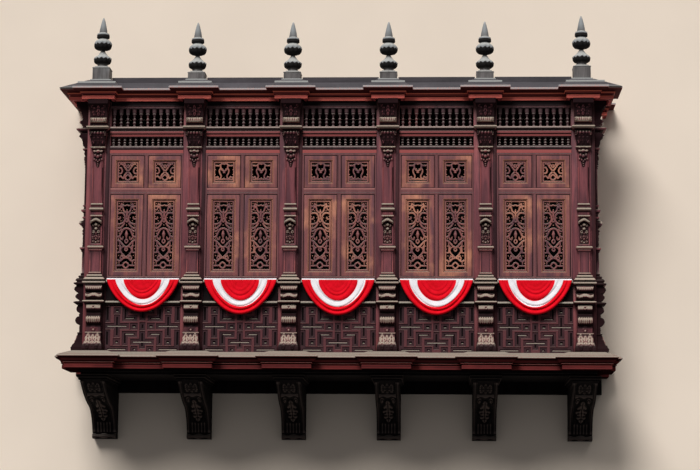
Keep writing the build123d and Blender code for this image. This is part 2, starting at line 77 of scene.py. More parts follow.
# The seven bays: name, place (x, y and turn of the bay's own frame) and half width of the opening
bays = [(str(n), (x, front_y, 0.0), opening) for n, x in enumerate(bays_x, 1)]
bays += [("left", (-side_face, side_y, -pi / 2), side_opening),
         ("right", (side_face, side_y, pi / 2), side_opening)]

# Heights of the ledges and rails, as in the part's source
dado_ledge, sill_bottom, transom_bottom, transom_top = (0.86, 0.90), 1.20, 2.68, 2.785
head_top, band_bottom, band_top, rail_bottom, rail_top = 3.495, 3.65, 3.81, 4.13, 4.18
frame_bar, mullion, leaf_gap = 0.026, 0.066, 0.003


# A shape is a pair: an array of points, and a list of arrays of faces. A point is x, y, z and wear and
# shading:
# -1 is black, painted shade in gaps and under overhangs and the dark paint of the finials' bulbs, 0 plain, 1
# a rubbed edge and 2 dust and painted highlight. Tables of sizes are in millimetres.
def grid(points, around=False, ends=False, closed=False):
    """Faces over rows and columns of points. around joins the last column to the first, closed the last row
    to the first, and ends shuts the first and the last row, each with one face."""
    if points.shape[-1] == 3:
        points = np.concatenate([points, np.zeros(points.shape[:-1] + (1,))], axis=-1)
    rows, columns = points.shape[:2]
    index = np.arange(rows * columns).reshape(rows, columns)
    shut = [index[:1, ::-1], index[-1:]] if ends else []
    if closed:
        index = np.vstack([index, index[:1]])
    after = np.roll(index, -1, axis=1) if around else index[:, 1:]
    here = index if around else index[:, :-1]
    quads = np.stack([here[:-1], after[:-1], after[1:], here[1:]], axis=-1).reshape(-1, 4)
    return points.reshape(-1, 4), [quads, *shut]


def joined(shapes):
    """Several shapes as one."""
    points, faces, count = [], [], 0
    for some_points, some_faces in shapes:
        points.append(some_points)
        faces += [some + count for some in some_faces]
        count += len(some_points)
    return np.vstack(points), faces


def placed(shape, place):
    """A shape from its own frame (face at y = 0, looking to -y) set at a place: x, y and a turn about Z."""
    x, y, turn = place
    c, s = cos(turn), sin(turn)
    points, faces = shape
    across = x + c * points[:, 0] - s * points[:, 1]
    along = y + s * points[:, 0] + c * points[:, 1]
    return np.column_stack([across, along, points[:, 2:]]), faces


def shifted(shape, x=0.0, y=0.0, z=0.0, wear_and_shading=0.0):
    """A shape moved along the axes, and with more or less wear and shading."""
    return shape[0] + np.array([x, y, z, wear_and_shading]), shape[1]


def mirrored(shape):
    """The mirror image about x = 0, with its faces turned round so that they still point outwards."""
    return shape[0] * np.array([-1.0, 1.0, 1.0, 1.0]), [some[:, ::-1] for some in shape[1]]


def both(shape):
    """A shape and its mirror image."""
    return joined([shape, mirrored(shape)])


def block(low, high, bevel):
    """A box whose twelve edges are cut by a narrow bevel."""
    (x0, y0, z0), (x1, y1, z1) = low, high
    ring = np.array([(x0 + bevel, y0), (x1 - bevel, y0), (x1, y0 + bevel), (x1, y1 - bevel),
                     (x1 - bevel, y1), (x0 + bevel, y1), (x0, y1 - bevel), (x0, y0 + bevel)])
    inner = np.clip(ring, (x0 + bevel, y0 + bevel), (x1 - bevel, y1 - bevel))
    rows = [np.column_stack([line, np.full(8, z)]) for line, z in
            ((inner, z0), (ring, z0 + bevel), (ring, z1 - bevel), (inner, z1))]
    return grid(np.array(rows), around=True, ends=True)


def metres(rows, kept=1):
    """Rows of millimetres in metres, but for the last columns, as many as are kept, such as wear."""
    table = np.array(rows, float)
    table[:, :table.shape[1] - kept] /= 1000
    return table


def section(points, base=0.0):
    """Points (out, up, wear and shading) of millimetres, counted up from a base in metres. Wear and shading
    left out is nought.
    """
    return metres([(*point, 0)[:3] for point in points]) + (0, base, 0)


def turned(outline, sides, wave=0.0, flutes=0, lift=0.0):
    """A turned piece: the outline's (radius, height, wear and shading) carried round Z. wave makes the radius
    ripple as a cosine, flutes times in one turn, by that share of the radius, and lift the height by that
    length."""
    r, z, wear_and_shading = np.array(outline).T
    angle = np.linspace(0, 2 * pi, sides, endpoint=False)
    radius = r[:, None] * (1 + np.outer(np.broadcast_to(wave, r.shape), np.cos(flutes * angle)))
    height = z[:, None] + np.outer(np.broadcast_to(lift, r.shape), np.cos(flutes * angle))
    rings = [radius * np.cos(angle), radius * np.sin(angle), height, np.outer(wear_and_shading, np.ones(sides))]
    return grid(np.stack(rings, axis=-1), around=True, ends=True)


def through(points, steps, closed):
    """A smooth line through points: on each run a cubic whose slope at a point is half the chord between
    the point's neighbours."""
    p = np.array(points, float)
    ends = [p[-1:], p, p[:2]] if closed else [2 * p[:1] - p[1:2], p, 2 * p[-1:] - p[-2:-1]]
    q = np.vstack(ends)
    a, b, c, d = q[:-3], q[1:-2], q[2:-1], q[3:]
    t = np.linspace(0, 1, steps, endpoint=False)[:, None, None]
    line = 2 * b + (c - a) * t + (2 * a - 5 * b + 4 * c - d) * t ** 2
    line = 0.5 * (line + (3 * b - a - 3 * c + d) * t ** 3)
    line = line.transpose(1, 0, 2).reshape(-1, p.shape[1])
    return line if closed else np.vstack([line, p[-1:]])


def carried(edge, path, front=(0.0, -1.0, 0.0), closed=False, size=1.0):
    """A section carried along a path with mitred corners. The section's points are (to the side, to the
    front), anticlockwise; the side is front x direction, and at a corner it is the two sides' sum over one
    plus their dot product. size scales the section at each point of the path."""
    path, front = np.array(path, float), np.array(front, float)
    run = np.roll(path, -1, axis=0) - path
    if not closed:
        run[-1] = run[-2]
    side = np.cross(front, run)
    side /= np.linalg.norm(side, axis=1, keepdims=True)
    before = np.roll(side, 1, axis=0)
    if not closed:
        before[0] = side[0]
    mitre = (side + before) / (1 + (side * before).sum(axis=1, keepdims=True))
    edge = np.array(edge)
    scale = np.broadcast_to(size, len(path))[:, None, None]
    points = path[:, None] + scale * (mitre[:, None] * edge[:, :1] + front * edge[:, 1:2])
    wear_and_shading = np.broadcast_to(edge[:, 2:], points.shape[:2] + (1,))
    return grid(np.concatenate([points, wear_and_shading], axis=-1), around=True, ends=not closed, closed=closed)


def framed(edge, width, low, high):
    """A section carried round an upright opening, from its edge inwards."""
    w = width / 2
    return carried(edge, [(-w, 0, low), (w, 0, low), (w, 0, high), (-w, 0, high)], closed=True)


def length_of(edge, width):
    """A moulding along X: a section of (outwards, z, wear and shading) points, anticlockwise, over a width.
    """
    out, z, wear_and_shading = np.array(edge).T
    rows = [np.column_stack([np.full(len(out), x), -out, z, wear_and_shading]) for x in (-width / 2, width / 2)]
    return grid(np.array(rows), around=True, ends=True)


def round_nose(top, bottom, reach, steps=7, wear_and_shading=2.0, under=-0.95):
    """Points of a rounded edge from its bottom to its top: half an ellipse, with dust and painted highlight
    by default, but for its underside, which is dark as painted shade.
    """
    angle = np.linspace(-pi / 2, pi / 2, steps)
    middle, half = (top + bottom) / 2, (top - bottom) / 2
    return [(reach - half * 0.7 + half * 0.7 * c, middle + half * s, wear_and_shading if s > under else -0.6)
            for c, s in zip(np.cos(angle), np.sin(angle))]


def piece(name, shape, slot, look, *replaced, sharp=38):
    """Makes a mesh object of a shape, which rides on the body and stands for the CAD nodes named."""
    points, faces = shape
    mesh = bpy.data.meshes.new(name)
    mesh.from_pydata(points[:, :3].tolist(), [], [face for some in faces for face in some.tolist()])
    if points[:, 3].any():
        mesh.attributes.new("wear_and_shading", "FLOAT", "POINT").data.foreach_set("value", points[:, 3])
    mesh.shade_smooth()
    mesh.set_sharp_from_angle(angle=radians(sharp))
    mesh.materials.append(look)
    thing = bpy.data.objects.new(name, mesh)
    bpy.context.scene.collection.objects.link(thing)
    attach(thing, "root")
    if replaced:
        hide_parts(*replaced)
    return thing


def in_each_bay(kind, made_for, slot, look, node, sharp=38):
    """A piece of one kind in each bay. made_for gives its shape from the bay's width and name."""
    for name, place, half in bays:
        shape = placed(made_for(half * 2, name), place)
        piece(f"{kind}_{name}", shape, slot, look, f"{node}_{name}", sharp=sharp)


# Camera: where the photographer stood, below the balcony and a little to the right
def set_camera():
    """A camera turned about Z, then pitched up, then rolled, with the lens that fits the photograph."""
    eye = Vector((1.65, -33.51, -2.86))
    yaw, pitch, roll = radians(2.62), radians(8.62), radians(-0.44)
    data = bpy.data.cameras.new("camera")
    data.sensor_width = 36.0
    data.lens = 101.8
    data.clip_end = 400.0
    camera = bpy.data.objects.new("camera", data)
    turn = (Matrix.Rotation(yaw, 4, "Z") @ Matrix.Rotation(pitch, 4, "X") @ Matrix.Rotation(roll, 4, "Y")
            @ Matrix.Rotation(pi / 2, 4, "X"))
    camera.matrix_world = Matrix.Translation(eye) @ turn
    bpy.context.scene.collection.objects.link(camera)
    bpy.context.scene.camera = camera


class Tree:
    """A short way to write a material's node tree."""

    def __init__(self, name):
        self.material = bpy.data.materials.new(name)
        self.material.use_nodes = True
        self.nodes = self.material.node_tree.nodes
        self.links = self.material.node_tree.links
        self.shader = self.nodes["Principled BSDF"]
        self.place = self.add("TexCoord", {}, "Object")

    def link(self, value, socket):
        """Puts a number, a colour or another node's output into a socket."""
        if isinstance(value, bpy.types.NodeSocket):
            self.links.new(value, socket)
        else:
            socket.default_value = (*value, 1.0) if socket.type == "RGBA" else value

    def add(self, kind, inputs, output=0, **settings):
        """Makes a node with these settings, fills its input sockets and returns one of its outputs."""
        node = self.nodes.new("ShaderNode" + kind)
        for name, value in settings.items():
            setattr(node, name, value)
        for socket, value in inputs.items():
            self.link(value, node.inputs[socket])
        return node.outputs[output]

    def math(self, operation, a, b=0.0):
        """One step of arithmetic."""
        return self.add("Math", {0: a, 1: b}, operation=operation)

    def mix(self, share, a, b):
        """Colour a where the share is 0, b where it is 1."""
        return self.add("Mix", {0: share, 6: a, 7: b}, 2, data_type="RGBA")

    def ramp(self, value, low, high, out_low=0.0, out_high=1.0):
        """value from low to high becomes out_low to out_high, and stays there outside."""
        ends = {"Value": value, "From Min": low, "From Max": high, "To Min": out_low, "To Max": out_high}
        return self.add("MapRange", ends, "Result", interpolation_type="SMOOTHSTEP")

    def stretch(self, scale):
        """The piece's own coordinates, scaled along each axis."""
        return self.add("Mapping", {"Vector": self.place, "Scale": scale}, "Vector")

    def noise(self, scale, detail, rough=0.55, vector=None, warp=0.0):
        """Cloudy noise from 0 to 1, on the piece's own coordinates or a stretched vector."""
        inputs = {"Vector": vector or self.place, "Scale": scale, "Detail": detail, "Roughness": rough}
        return self.add("TexNoise", {**inputs, "Distortion": warp}, "Fac")

    def bump(self, height, strength, distance, under=None):
        """A normal that follows a height, over another bump where one is given."""
        inputs = {"Strength": strength, "Distance": distance, "Height": height}
        return self.add("Bump", inputs if under is None else {**inputs, "Normal": under}, "Normal")

    def upright(self, vector):
        """A vector's Z: the height of a place, or how far a normal looks to the sky, from -1 to 1."""
        return self.add("SeparateXYZ", {0: vector}, "Z")

    def facing_up(self):
        """How far the surface looks to the sky, from -1 to 1."""
        return self.upright(self.add("NewGeometry", {}, "Normal"))

    def recess(self, distance):
        """Open sky over a point of the surface, from 0 deep in a recess to 1 in the open."""
        return self.add("AmbientOcclusion", {"Distance": distance}, "AO", samples=4)

    def attribute(self, name):
        """A number that the mesh holds for each point."""
        return self.add("Attribute", {}, "Fac", attribute_name=name)


def wood(name, tone, dark, worn, dust_and_highlight, grain="Z", dust_and_highlight_cover=0.93, rough=0.5, spots=0.5, dust_from=0.2,
         shine=0.12, grey_below=0.0, dust_and_highlight_range=(1.0, 2.0), under=0.0):
    """Old varnished hardwood: grain along one axis, boards of uneven tone, painted shade in the crevices,
    dust on what looks up, dust and painted highlight where the points are marked, and the dust colour below a
    height.
    What looks straight down can be darkened as painted shade, and marks below nought go black, as painted
    shade and as the finials' dark paint."""
    t = Tree(name)
    fine = {"X": (5, 90, 90), "Y": (90, 5, 90), "Z": (90, 90, 5)}[grain]
    broad = {"X": (0.8, 9, 9), "Y": (9, 0.8, 9), "Z": (9, 9, 0.8)}[grain]
    fibre = t.noise(1.0, 5, 0.6, t.stretch(fine), 0.4)
    bands = t.noise(1.0, 3, 0.5, t.stretch(broad), 0.8)
    blotch = t.noise(1.7, 3, 0.6)
    speckle = t.noise(38, 4, 0.7)
    wear_and_shading = t.attribute("wear_and_shading")
    black = tuple(c * 0.12 for c in dark)
    body = t.mix(t.ramp(bands, 0.3, 0.7), dark, tone)
    body = t.mix(t.math("MULTIPLY", t.ramp(blotch, 0.5, 0.75), spots), body, worn)
    body = t.mix(t.ramp(fibre, 0.3, 0.62, 0.5, 0.0), body, dark)
    body = t.mix(t.ramp(wear_and_shading, 0.0, 1.0), body, worn)
    # Painted shade: the colour goes towards black deep in crevices, by ambient occlusion.
    body = t.mix(t.ramp(t.recess(0.035), 0.2, 0.85, 0.85, 0.0), body, black)
    # Dust on what looks up, and dust and painted highlight where the points are marked.
    dust_and_highlight_share = t.math("MAXIMUM", t.ramp(t.facing_up(), dust_from, dust_from + 0.6), t.ramp(wear_and_shading, *dust_and_highlight_range))
    if grey_below:
        bleached = t.ramp(t.upright(t.place), grey_below - 0.06, grey_below, 1.0, 0.25)
        dust_and_highlight_share = t.math("MAXIMUM", dust_and_highlight_share, bleached)
    dust_and_highlight_share = t.math("MULTIPLY", dust_and_highlight_share, t.ramp(speckle, 0.2, 0.55, 0.55, 1.0))
    body = t.mix(t.math("MULTIPLY", dust_and_highlight_share, dust_and_highlight_cover), body, dust_and_highlight)
    # Black where wear and shading is below nought: painted shade, and the finials' dark paint.
    body = t.mix(t.ramp(wear_and_shading, -1.0, -0.05, 0.95, 0.0), body, black)
    # Painted shade on what looks straight down.
    if under:
        body = t.mix(t.ramp(t.facing_up(), -0.98, -0.85, under, 0.0), body, black)
    t.link(body, t.shader.inputs["Base Color"])
    varnish = t.ramp(fibre, 0.2, 0.8, rough + 0.2, rough - 0.06)
    dull = t.ramp(t.math("ABSOLUTE", wear_and_shading), 0.3, 1.2, 0.3, 0.95)
    t.link(t.math("MAXIMUM", varnish, dull), t.shader.inputs["Roughness"])
    t.shader.inputs["Specular IOR Level"].default_value = shine
    ridges = t.bump(fibre, 0.35, 0.002)
    t.link(t.bump(t.noise(14, 4, 0.6), 0.25, 0.004, ridges), t.shader.inputs["Normal"])
    return t.material


def plain(name, colour):
    """A faintly mottled plaster for the stage."""
    t = Tree(name)
    mottle = t.ramp(t.noise(0.35, 3), 0.3, 0.7)
    t.link(t.mix(mottle, colour, tuple(0.95 * c for c in colour)), t.shader.inputs["Base Color"])
    t.shader.inputs["Roughness"].default_value = 0.9
    return t


def bunting_cloth():
    """Woven cotton, red with a white band: the attribute band runs from 0 to 1 across the white."""
    t = Tree("bunting_cloth")
    band = t.attribute("band")
    white = t.math("MULTIPLY", t.ramp(band, -0.03, 0.03), t.ramp(band, 0.97, 1.03, 1.0, 0.0))
    hem = t.ramp(t.upright(t.place), swag_top - 0.022, swag_top - 0.016)
    white = t.math("MAXIMUM", white, hem)
    mottle = t.ramp(t.noise(9, 4, 0.6), 0.3, 0.7)
    red = t.mix(mottle, (0.66, 0.001, 0.008), (0.8, 0.002, 0.014))
    pale = t.mix(mottle, (0.80, 0.76, 0.78), (0.9, 0.87, 0.88))
    t.link(t.mix(white, red, pale), t.shader.inputs["Base Color"])
    weave = t.math("SINE", t.noise(700, 1))
    t.link(t.bump(weave, 0.2, 0.0006), t.shader.inputs["Normal"])
    t.shader.inputs["Roughness"].default_value = 0.8
    t.shader.inputs["Specular IOR Level"].default_value = 0.1
    return t.material


swag_top = 1.27
mahogany, deep = (0.25, 0.072, 0.08), (0.10, 0.036, 0.044)
dust_and_highlight = (0.37, 0.32, 0.25)
CARVED = wood("carved_wood_upright", mahogany, deep, (0.36, 0.10, 0.095), dust_and_highlight, dust_and_highlight_range=(0.55, 1.5))
# Painted light: the cornice's carved wood is made far brighter than the upright carved wood, to stand in for
# the light that the nose's overhang keeps off its fascia and bead.
CARVED_LEVEL_PAINTED_LIGHT = wood("carved_wood_level_painted_light", (0.90, 0.17, 0.165), (0.42, 0.075, 0.078), (1.0, 0.23, 0.14),
                    (0.36, 0.39, 0.39), grain="X", dust_from=3.0)
# The base's wood darkens what looks straight down, as painted shade.
BASE = wood("carved_wood_base", (0.16, 0.028, 0.026), (0.07, 0.017, 0.018), (0.25, 0.045, 0.04),
            (0.32, 0.29, 0.235), grain="X", dust_from=0.5, under=0.93, shine=0.0)
DADO = wood("carved_wood_dado", (0.06, 0.024, 0.028), (0.032, 0.015, 0.018), (0.115, 0.038, 0.042),
            (0.4, 0.36, 0.29), dust_from=0.7)
SPINDLE = wood("carved_wood_turned", (0.12, 0.066, 0.07), (0.06, 0.035, 0.038), (0.34, 0.085, 0.08),
               (0.36, 0.31, 0.27))
FRAME = wood("shutter_wood_frame", (0.19, 0.075, 0.08), (0.1, 0.046, 0.052), (0.32, 0.11, 0.1),
             (0.4, 0.32, 0.28))
SHUTTER = wood("shutter_wood", (0.31, 0.105, 0.092), (0.13, 0.056, 0.066), (0.6, 0.25, 0.15),
               (0.5, 0.42, 0.35), spots=1.0, dust_and_highlight_cover=0.8)
ROOF = wood("roof_wood", (0.05, 0.038, 0.048), (0.024, 0.019, 0.025), (0.09, 0.08, 0.09),
            (0.17, 0.17, 0.165), grain="X", dust_and_highlight_cover=0.75, dust_from=3.0, grey_below=4.475)
FINIAL = wood("finial_wood", (0.17, 0.155, 0.15), (0.08, 0.072, 0.07), (0.26, 0.275, 0.28),
              (0.42, 0.415, 0.39), dust_from=0.1, dust_and_highlight_cover=0.85)
# The corbels' dark wood, made near black as painted shade under the balcony.
DARK_WOOD_PAINTED_SHADE = wood("dark_wood", (0.014, 0.01, 0.01), (0.008, 0.006, 0.006), (0.1, 0.074, 0.064),
            (0.16, 0.14, 0.12), rough=0.75, shine=0.06, spots=0.0)
CLOTH = bunting_cloth()

LOOK = {"carved_wood": CARVED, "shutter_wood": SHUTTER, "roof_wood": ROOF, "dark_wood": DARK_WOOD_PAINTED_SHADE,
        "bunting_cloth": CLOTH}
LEVEL_NODES = ("base_cornice", "ceiling", "floor_deck")
slot_of = {part["node"]: part["material_slot"] for part in frame["record"]["subparts"]}
for name, node in nodes.items():
    node.data.materials.clear()
    node.data.materials.append(BASE if name in LEVEL_NODES else LOOK[slot_of[name]])


# Shutters: a moulded frame round a sunk board whose field is pierced by an arabesque of rounded bars
leaf_set_back, leaf_foot = 0.006, 0.0003
# In millimetres, as the tables are
leaf_back, board_face, field_edge, bars_back, knob_radius, knob_height = -45, -23, 122, -32, 10.5, 10.5
# Below nought this edge is painted shade: the stile's shadow on the sunk board, in the groove and at the
# leaf's outer edge.
leaf_edge = section([
    (0, leaf_back), (field_edge, leaf_back), (field_edge, board_face - 3), (field_edge - 3, board_face, 0.4),
    (106, board_face), (102, board_face, -0.4), (97, board_face, -1), (92, board_face, -1), (90, -13, 0.4),
    (86, -10, 0.9), (83, -11, 0.3), (80, -14, -1), (78, -12, -1), (76, -2, 0.4), (73, 0, 0.6), (66, 0),
    (10, 0), (7, -1, -0.6), (4, -4, -1), (0, -10, -1),
])
# A bar's section, in thousandths of its half width
bar_edge = section([(1000, 0), (720, 620), (-720, 620), (-1000, 0), (-800, -600), (800, -600)])

# The pierced patterns. half is drawn on both sides of the middle, and so are its knobs. A bar is its half
# width in millimetres, its points, the steps of each run and how it tapers; a loop is its half width, steps,
# half breadth, foot, middle and head. Points are in thousandths of the field's half width and height.
tall_arabesque = {
    "half": [
        (10, [(980, 52), (600, 52), (300, 56)], 3),
        (10, [(740, 50), (740, 95)], 3, (0.7, 0.5, 1.3)),
        (12, [(980, 140), (720, 118), (500, 130), (300, 158), (0, 170)]),
        (10, [(500, 130), (620, 165), (460, 192), (300, 180)], 5, (1, 1, 1.4)),
        (11, [(0, 170), (220, 198), (450, 232), (620, 275), (600, 330), (780, 345)]),
        (9, [(620, 275), (500, 315), (300, 330)]),
        (10, [(980, 245), (620, 250)], 3),
        (9, [(720, 250), (700, 330), (740, 415)]),
        (13, [(980, 430), (740, 415), (450, 372), (200, 335), (0, 325)]),
        (13, [(980, 475), (750, 490), (580, 535), (380, 585), (160, 603), (0, 606)]),
        (9, [(750, 490), (620, 455), (450, 440), (380, 470)], 5, (1, 1, 1.5)),
        (10, [(980, 565), (750, 565), (500, 600)]),
        (12, [(980, 610), (720, 610), (420, 645), (220, 690)]),
        (12, [(980, 670), (720, 672), (400, 690), (200, 735), (220, 790), (450, 832), (800, 836),
         (980, 826)]),
        (10, [(980, 745), (760, 748), (700, 772)], 5, (1, 1, 1.5)),
        (10, [(0, 695), (160, 725)], 3),
        (12, [(660, 915), (520, 930), (440, 905), (360, 868), (180, 842), (0, 836)], 5, (1.4, 1, 1, 1)),
        (9, [(980, 885), (780, 885), (720, 925)]),
        (11, [(980, 935), (720, 940), (600, 985)]),
        (10, [(600, 970), (400, 950), (200, 945), (0, 955)]),
    ],
    "middle": [
        (24, [(0, 455), (0, 490), (0, 520), (0, 575)], 5, (0.25, 0.7, 1.0, 0.3)),
        (12, [(0, 752), (0, 800), (0, 840)], 3, (0.6, 1.3, 0.7)),
        (12, [(0, 845), (0, 885)], 3, (1.3, 0.5)),
    ],
    "loops": [(11, 6, 310, 14, 58, 102), (9, 5, 150, 270, 292, 315), (9, 2, 170, 385, 415, 445),
              (9, 2, 150, 702, 727, 752)],
    "knobs": [
        (970, 90), (740, 100), (520, 205), (300, 178), (800, 200), (620, 300), (860, 345), (960, 300),
        (300, 335), (450, 372), (840, 455), (360, 476), (620, 445), (780, 530), (500, 562), (970, 585),
        (840, 640), (420, 645), (620, 718), (720, 775), (970, 780), (360, 765), (620, 868), (360, 868),
        (970, 860), (520, 930), (780, 885), (200, 945), (860, 975), (420, 985),
    ],
    "middle_knobs": [(0, 955), (0, 885), (0, 655)],
}
# A heart between two standing loops over a bar
heart_arabesque = {
    "half": [
        (11, [(980, 860), (620, 850), (420, 880), (260, 960), (0, 940)]),
        (12, [(420, 880), (360, 720), (200, 600), (0, 550)]),
        (11, [(360, 720), (520, 580), (460, 420), (320, 280), (400, 140), (600, 120),
         (700, 240)], 5, (1, 1, 1, 1.2)),
        (10, [(980, 140), (840, 200), (700, 240)], 3),
        (10, [(980, 85), (500, 85), (0, 110)], 4),
    ],
    "middle": [(14, [(0, 550), (0, 440)], 3, (1, 1.3))],
    "loops": [],
    "knobs": [
        (420, 880), (520, 600), (970, 620), (970, 360), (440, 420), (700, 240), (360, 200), (970, 220),
        (840, 840), (160, 660),
    ],
    "knob_radius": 11,
    "middle_knobs": [(0, 920), (0, 160)],
}
# Two crossing S-curves over a loop, in the outer bays
crossed_arabesque = {
    "half": [
        (12, [(900, 950), (600, 920), (300, 720), (0, 520), (-340, 340), (-500, 120)]),
        (11, [(980, 740), (760, 720), (620, 560), (760, 420), (980, 420)]),
        (10, [(600, 920), (420, 980), (300, 900), (420, 820)], 5, (1, 1, 1.4)),
        (11, [(980, 220), (780, 260), (500, 120)]),
        (10, [(0, 900), (160, 820), (0, 720)]),
    ],
    "middle": [],
    "loops": [(11, 6, 300, 40, 180, 340)],
    "knobs": [
        (300, 720), (340, 340), (760, 420), (620, 560), (420, 820), (780, 260), (970, 580), (600, 920),
        (970, 860),
    ],
    "middle_knobs": [],
}


def bar(w, h, half_width, points, steps=5, taper=(1, 1), closed=False):
    """One bar along a smooth line, in a field of half width w and height h."""
    line = through(np.array(points) / 1000, steps, closed) * (w, h)
    path = np.column_stack([line[:, 0], np.zeros(len(line)), line[:, 1]])
    share = np.interp(np.linspace(0, 1, len(line)), np.linspace(0, 1, len(taper)), taper)
    return carried(bar_edge, path, closed=closed, size=half_width / 1000 * 1.22 * share)


def knobs(w, h, places, radius=knob_radius):
    """Carved knobs where bars meet or curl: low domes of six sides, turned to face the front."""
    points, faces = turned(section([(radius * 0.7, -10), (radius, 0), (radius * 0.62, knob_height)]), 6)
    facing = np.column_stack([points[:, 0], -points[:, 2], points[:, 1], points[:, 3] + 0.5]), faces
    return joined([shifted(facing, x=x / 1000 * w, z=z / 1000 * h) for x, z in places])


def arabesque(pattern, w, h):
    """A pattern's half and its mirror image, with the bars, loops and knobs on its middle."""
    half = [bar(w, h, *row) for row in pattern["half"]]
    half.append(knobs(w, h, pattern["knobs"], pattern.get("knob_radius", knob_radius)))
    whole = [both(joined(half))] + [bar(w, h, *row) for row in pattern["middle"]]
    for size, steps, breadth, foot, middle, head in pattern["loops"]:
        ring = [(breadth, middle), (0, head), (-breadth, middle), (0, foot)]
        whole.append(bar(w, h, size, ring, steps, closed=True))
    if pattern["middle_knobs"]:
        whole.append(knobs(w, h, pattern["middle_knobs"]))
    return joined(whole)


def leaf(width, height, pattern):
    """One shutter about its own middle: the frame, and the arabesque set in its field."""
    w, h = width / 2 - field_edge / 1000, height - 2 * field_edge / 1000
    bars = shifted(arabesque(pattern, w, h), y=-bars_back / 1000, z=-h / 2)
    return joined([framed(leaf_edge, width, -height / 2, height / 2), bars])


def shutters(width, name):
    """The four shutters of a bay: two tall ones below the transom and two small ones over it."""
    across = (width - 2 * frame_bar - mullion) / 2 - 2 * leaf_gap
    x = (across + mullion) / 2 + leaf_gap
    low, high = sill_top + frame_bar + leaf_foot, transom_bottom - leaf_gap
    foot, head = transom_top + leaf_foot, head_bottom - frame_bar - leaf_gap
    tall = leaf(across, high - low, tall_arabesque)
    small = leaf(across, head - foot, crossed_arabesque if name in ("1", "5") else heart_arabesque)
    column = joined([shifted(tall, x=x, z=(low + high) / 2), shifted(small, x=x, z=(foot + head) / 2)])
    return shifted(both(column), y=leaf_set_back)


in_each_bay("shutter_leaves", shutters, "shutter_wood", SHUTTER, "shutters")


# Spindle screens: moulded rails and turned spindles
upper_spindle = section([
    (30, 0), (30, 22), (20, 28), (14, 44), (14, 52), (24, 66), (26, 76), (22, 88), (13, 98), (13, 110),
    (24, 124), (26, 134), (22, 146), (13, 156), (13, 176), (18, 196), (24, 214), (30, 218), (31, 228),
    (27, 234), (33, 246), (35, 262), (35, 292), (38, 304), (44, 314), (53, 322),
])
lower_spindle = section([
    (26, 0), (26, 16), (13, 26), (13, 36), (24, 48), (25, 56), (13, 68), (13, 82), (24, 94), (25, 102),
    (13, 114), (16, 126), (26, 140), (27, 157),
])
spindle_axis, rail_back = 0.05, -95


def row_of(shape, width, count, z):
    """Equal copies side by side, each in the middle of its share of the width."""
    places = (np.arange(count) - (count - 1) / 2) * (width / count)
    return joined([shifted(shape, x=x, y=spindle_axis, z=z) for x in places])


def spindle_screen(width, name):
    """Head rail, band and top rail as mouldings, with a row of turned spindles over the first two."""
    # Below nought: painted shade in the grooves, and the top rail black as painted shadow under the cornice;
    # the band's nose carries dust and painted highlight.
    head = [*section([(rail_back, 0), (0, 0, -0.5), (0, 12, 1), (1, 62, 1), (0, 68, -1), (4, 72, -1)],
                     head_bottom),
            *round_nose(head_top - 0.010, head_bottom + 0.078, 0.014, wear_and_shading=0.0),
            *section([(0, -6, -0.6), (0, 0), (rail_back, 0)], head_top)]
    band = [*section([(rail_back, 0), (0, 0), (2, 4, 1), (4, 34, 1), (6, 38, -1), (16, 46, -1),
                      (22, 52, 0.6), (24, 86, 0.6), (8, 92, -1), (6, 104, -1), (14, 118), (30, 128, -0.8)],
                     band_bottom),
            *round_nose(band_top - 0.004, band_top - 0.028, 0.040, 5),
            *section([(30, 0, 1.4), (rail_back, 0)], band_top)]
    top = [*section([(rail_back, 0), (-12, 0), (-10, 30, 0.3), (0, 36, -0.5)], rail_bottom),
           *section([(0, 0, -1), (-30, 4, -1)], rail_top),
           *section([(-30, 0, -1), (rail_back, 0)], ceiling_bottom)]
    upper, lower = (8, 9) if name in ("left", "right") else (11, 13)
    return joined([length_of(head, width), length_of(band, width), length_of(top, width),
                   row_of(turned(upper_spindle, 14), width, upper, band_top - 0.001),
                   row_of(turned(lower_spindle, 12), width, lower, head_top - 0.001)])


in_each_bay("turned_screen", spindle_screen, "carved_wood", SPINDLE, "spindle_screen")


# Parapet: a board of raised ribs round compartments with a slot each, under a ledge, a frieze and the sill
rib_depth, floor_depth, slot_depth = 0.022, 0.010, -0.002
strap_low, strap_high = base_top + 0.012, dado_ledge[0] - 0.050
drawn_half = 0.61

# Slots: (x, z, half width, half height) from the panel's middle, for its right half
slots = metres([
    (420, 490, 160, 11), (420, 490, 10, 150), (140, 487, 26, 18), (208, 361, 84, 11), (284, 288, 9, 80),
    (208, 619, 84, 11), (284, 692, 9, 80), (577, 290, 12, 104), (577, 695, 12, 104), (420, 233, 18, 16),
    (420, 742, 18, 16), (420, 112, 150, 11), (130, 112, 20, 12), (0, 233, 155, 11), (0, 265, 9, 105),
    (0, 747, 155, 11), (0, 715, 9, 90), (0, 487, 9, 30),
], kept=0)


def stripe(value, low, high, slope):
    """One between low and high, falling straight to nought over the slope outside."""
    return np.clip(np.minimum(value - low, high - value) / slope + 1, 0, 1)


def within(low, values, high):
    """The values between two ends, with the ends themselves and none closer to them than 4 mm."""
    return np.concatenate([[low], values[(values > low + 0.004) & (values < high - 0.004)], [high]])


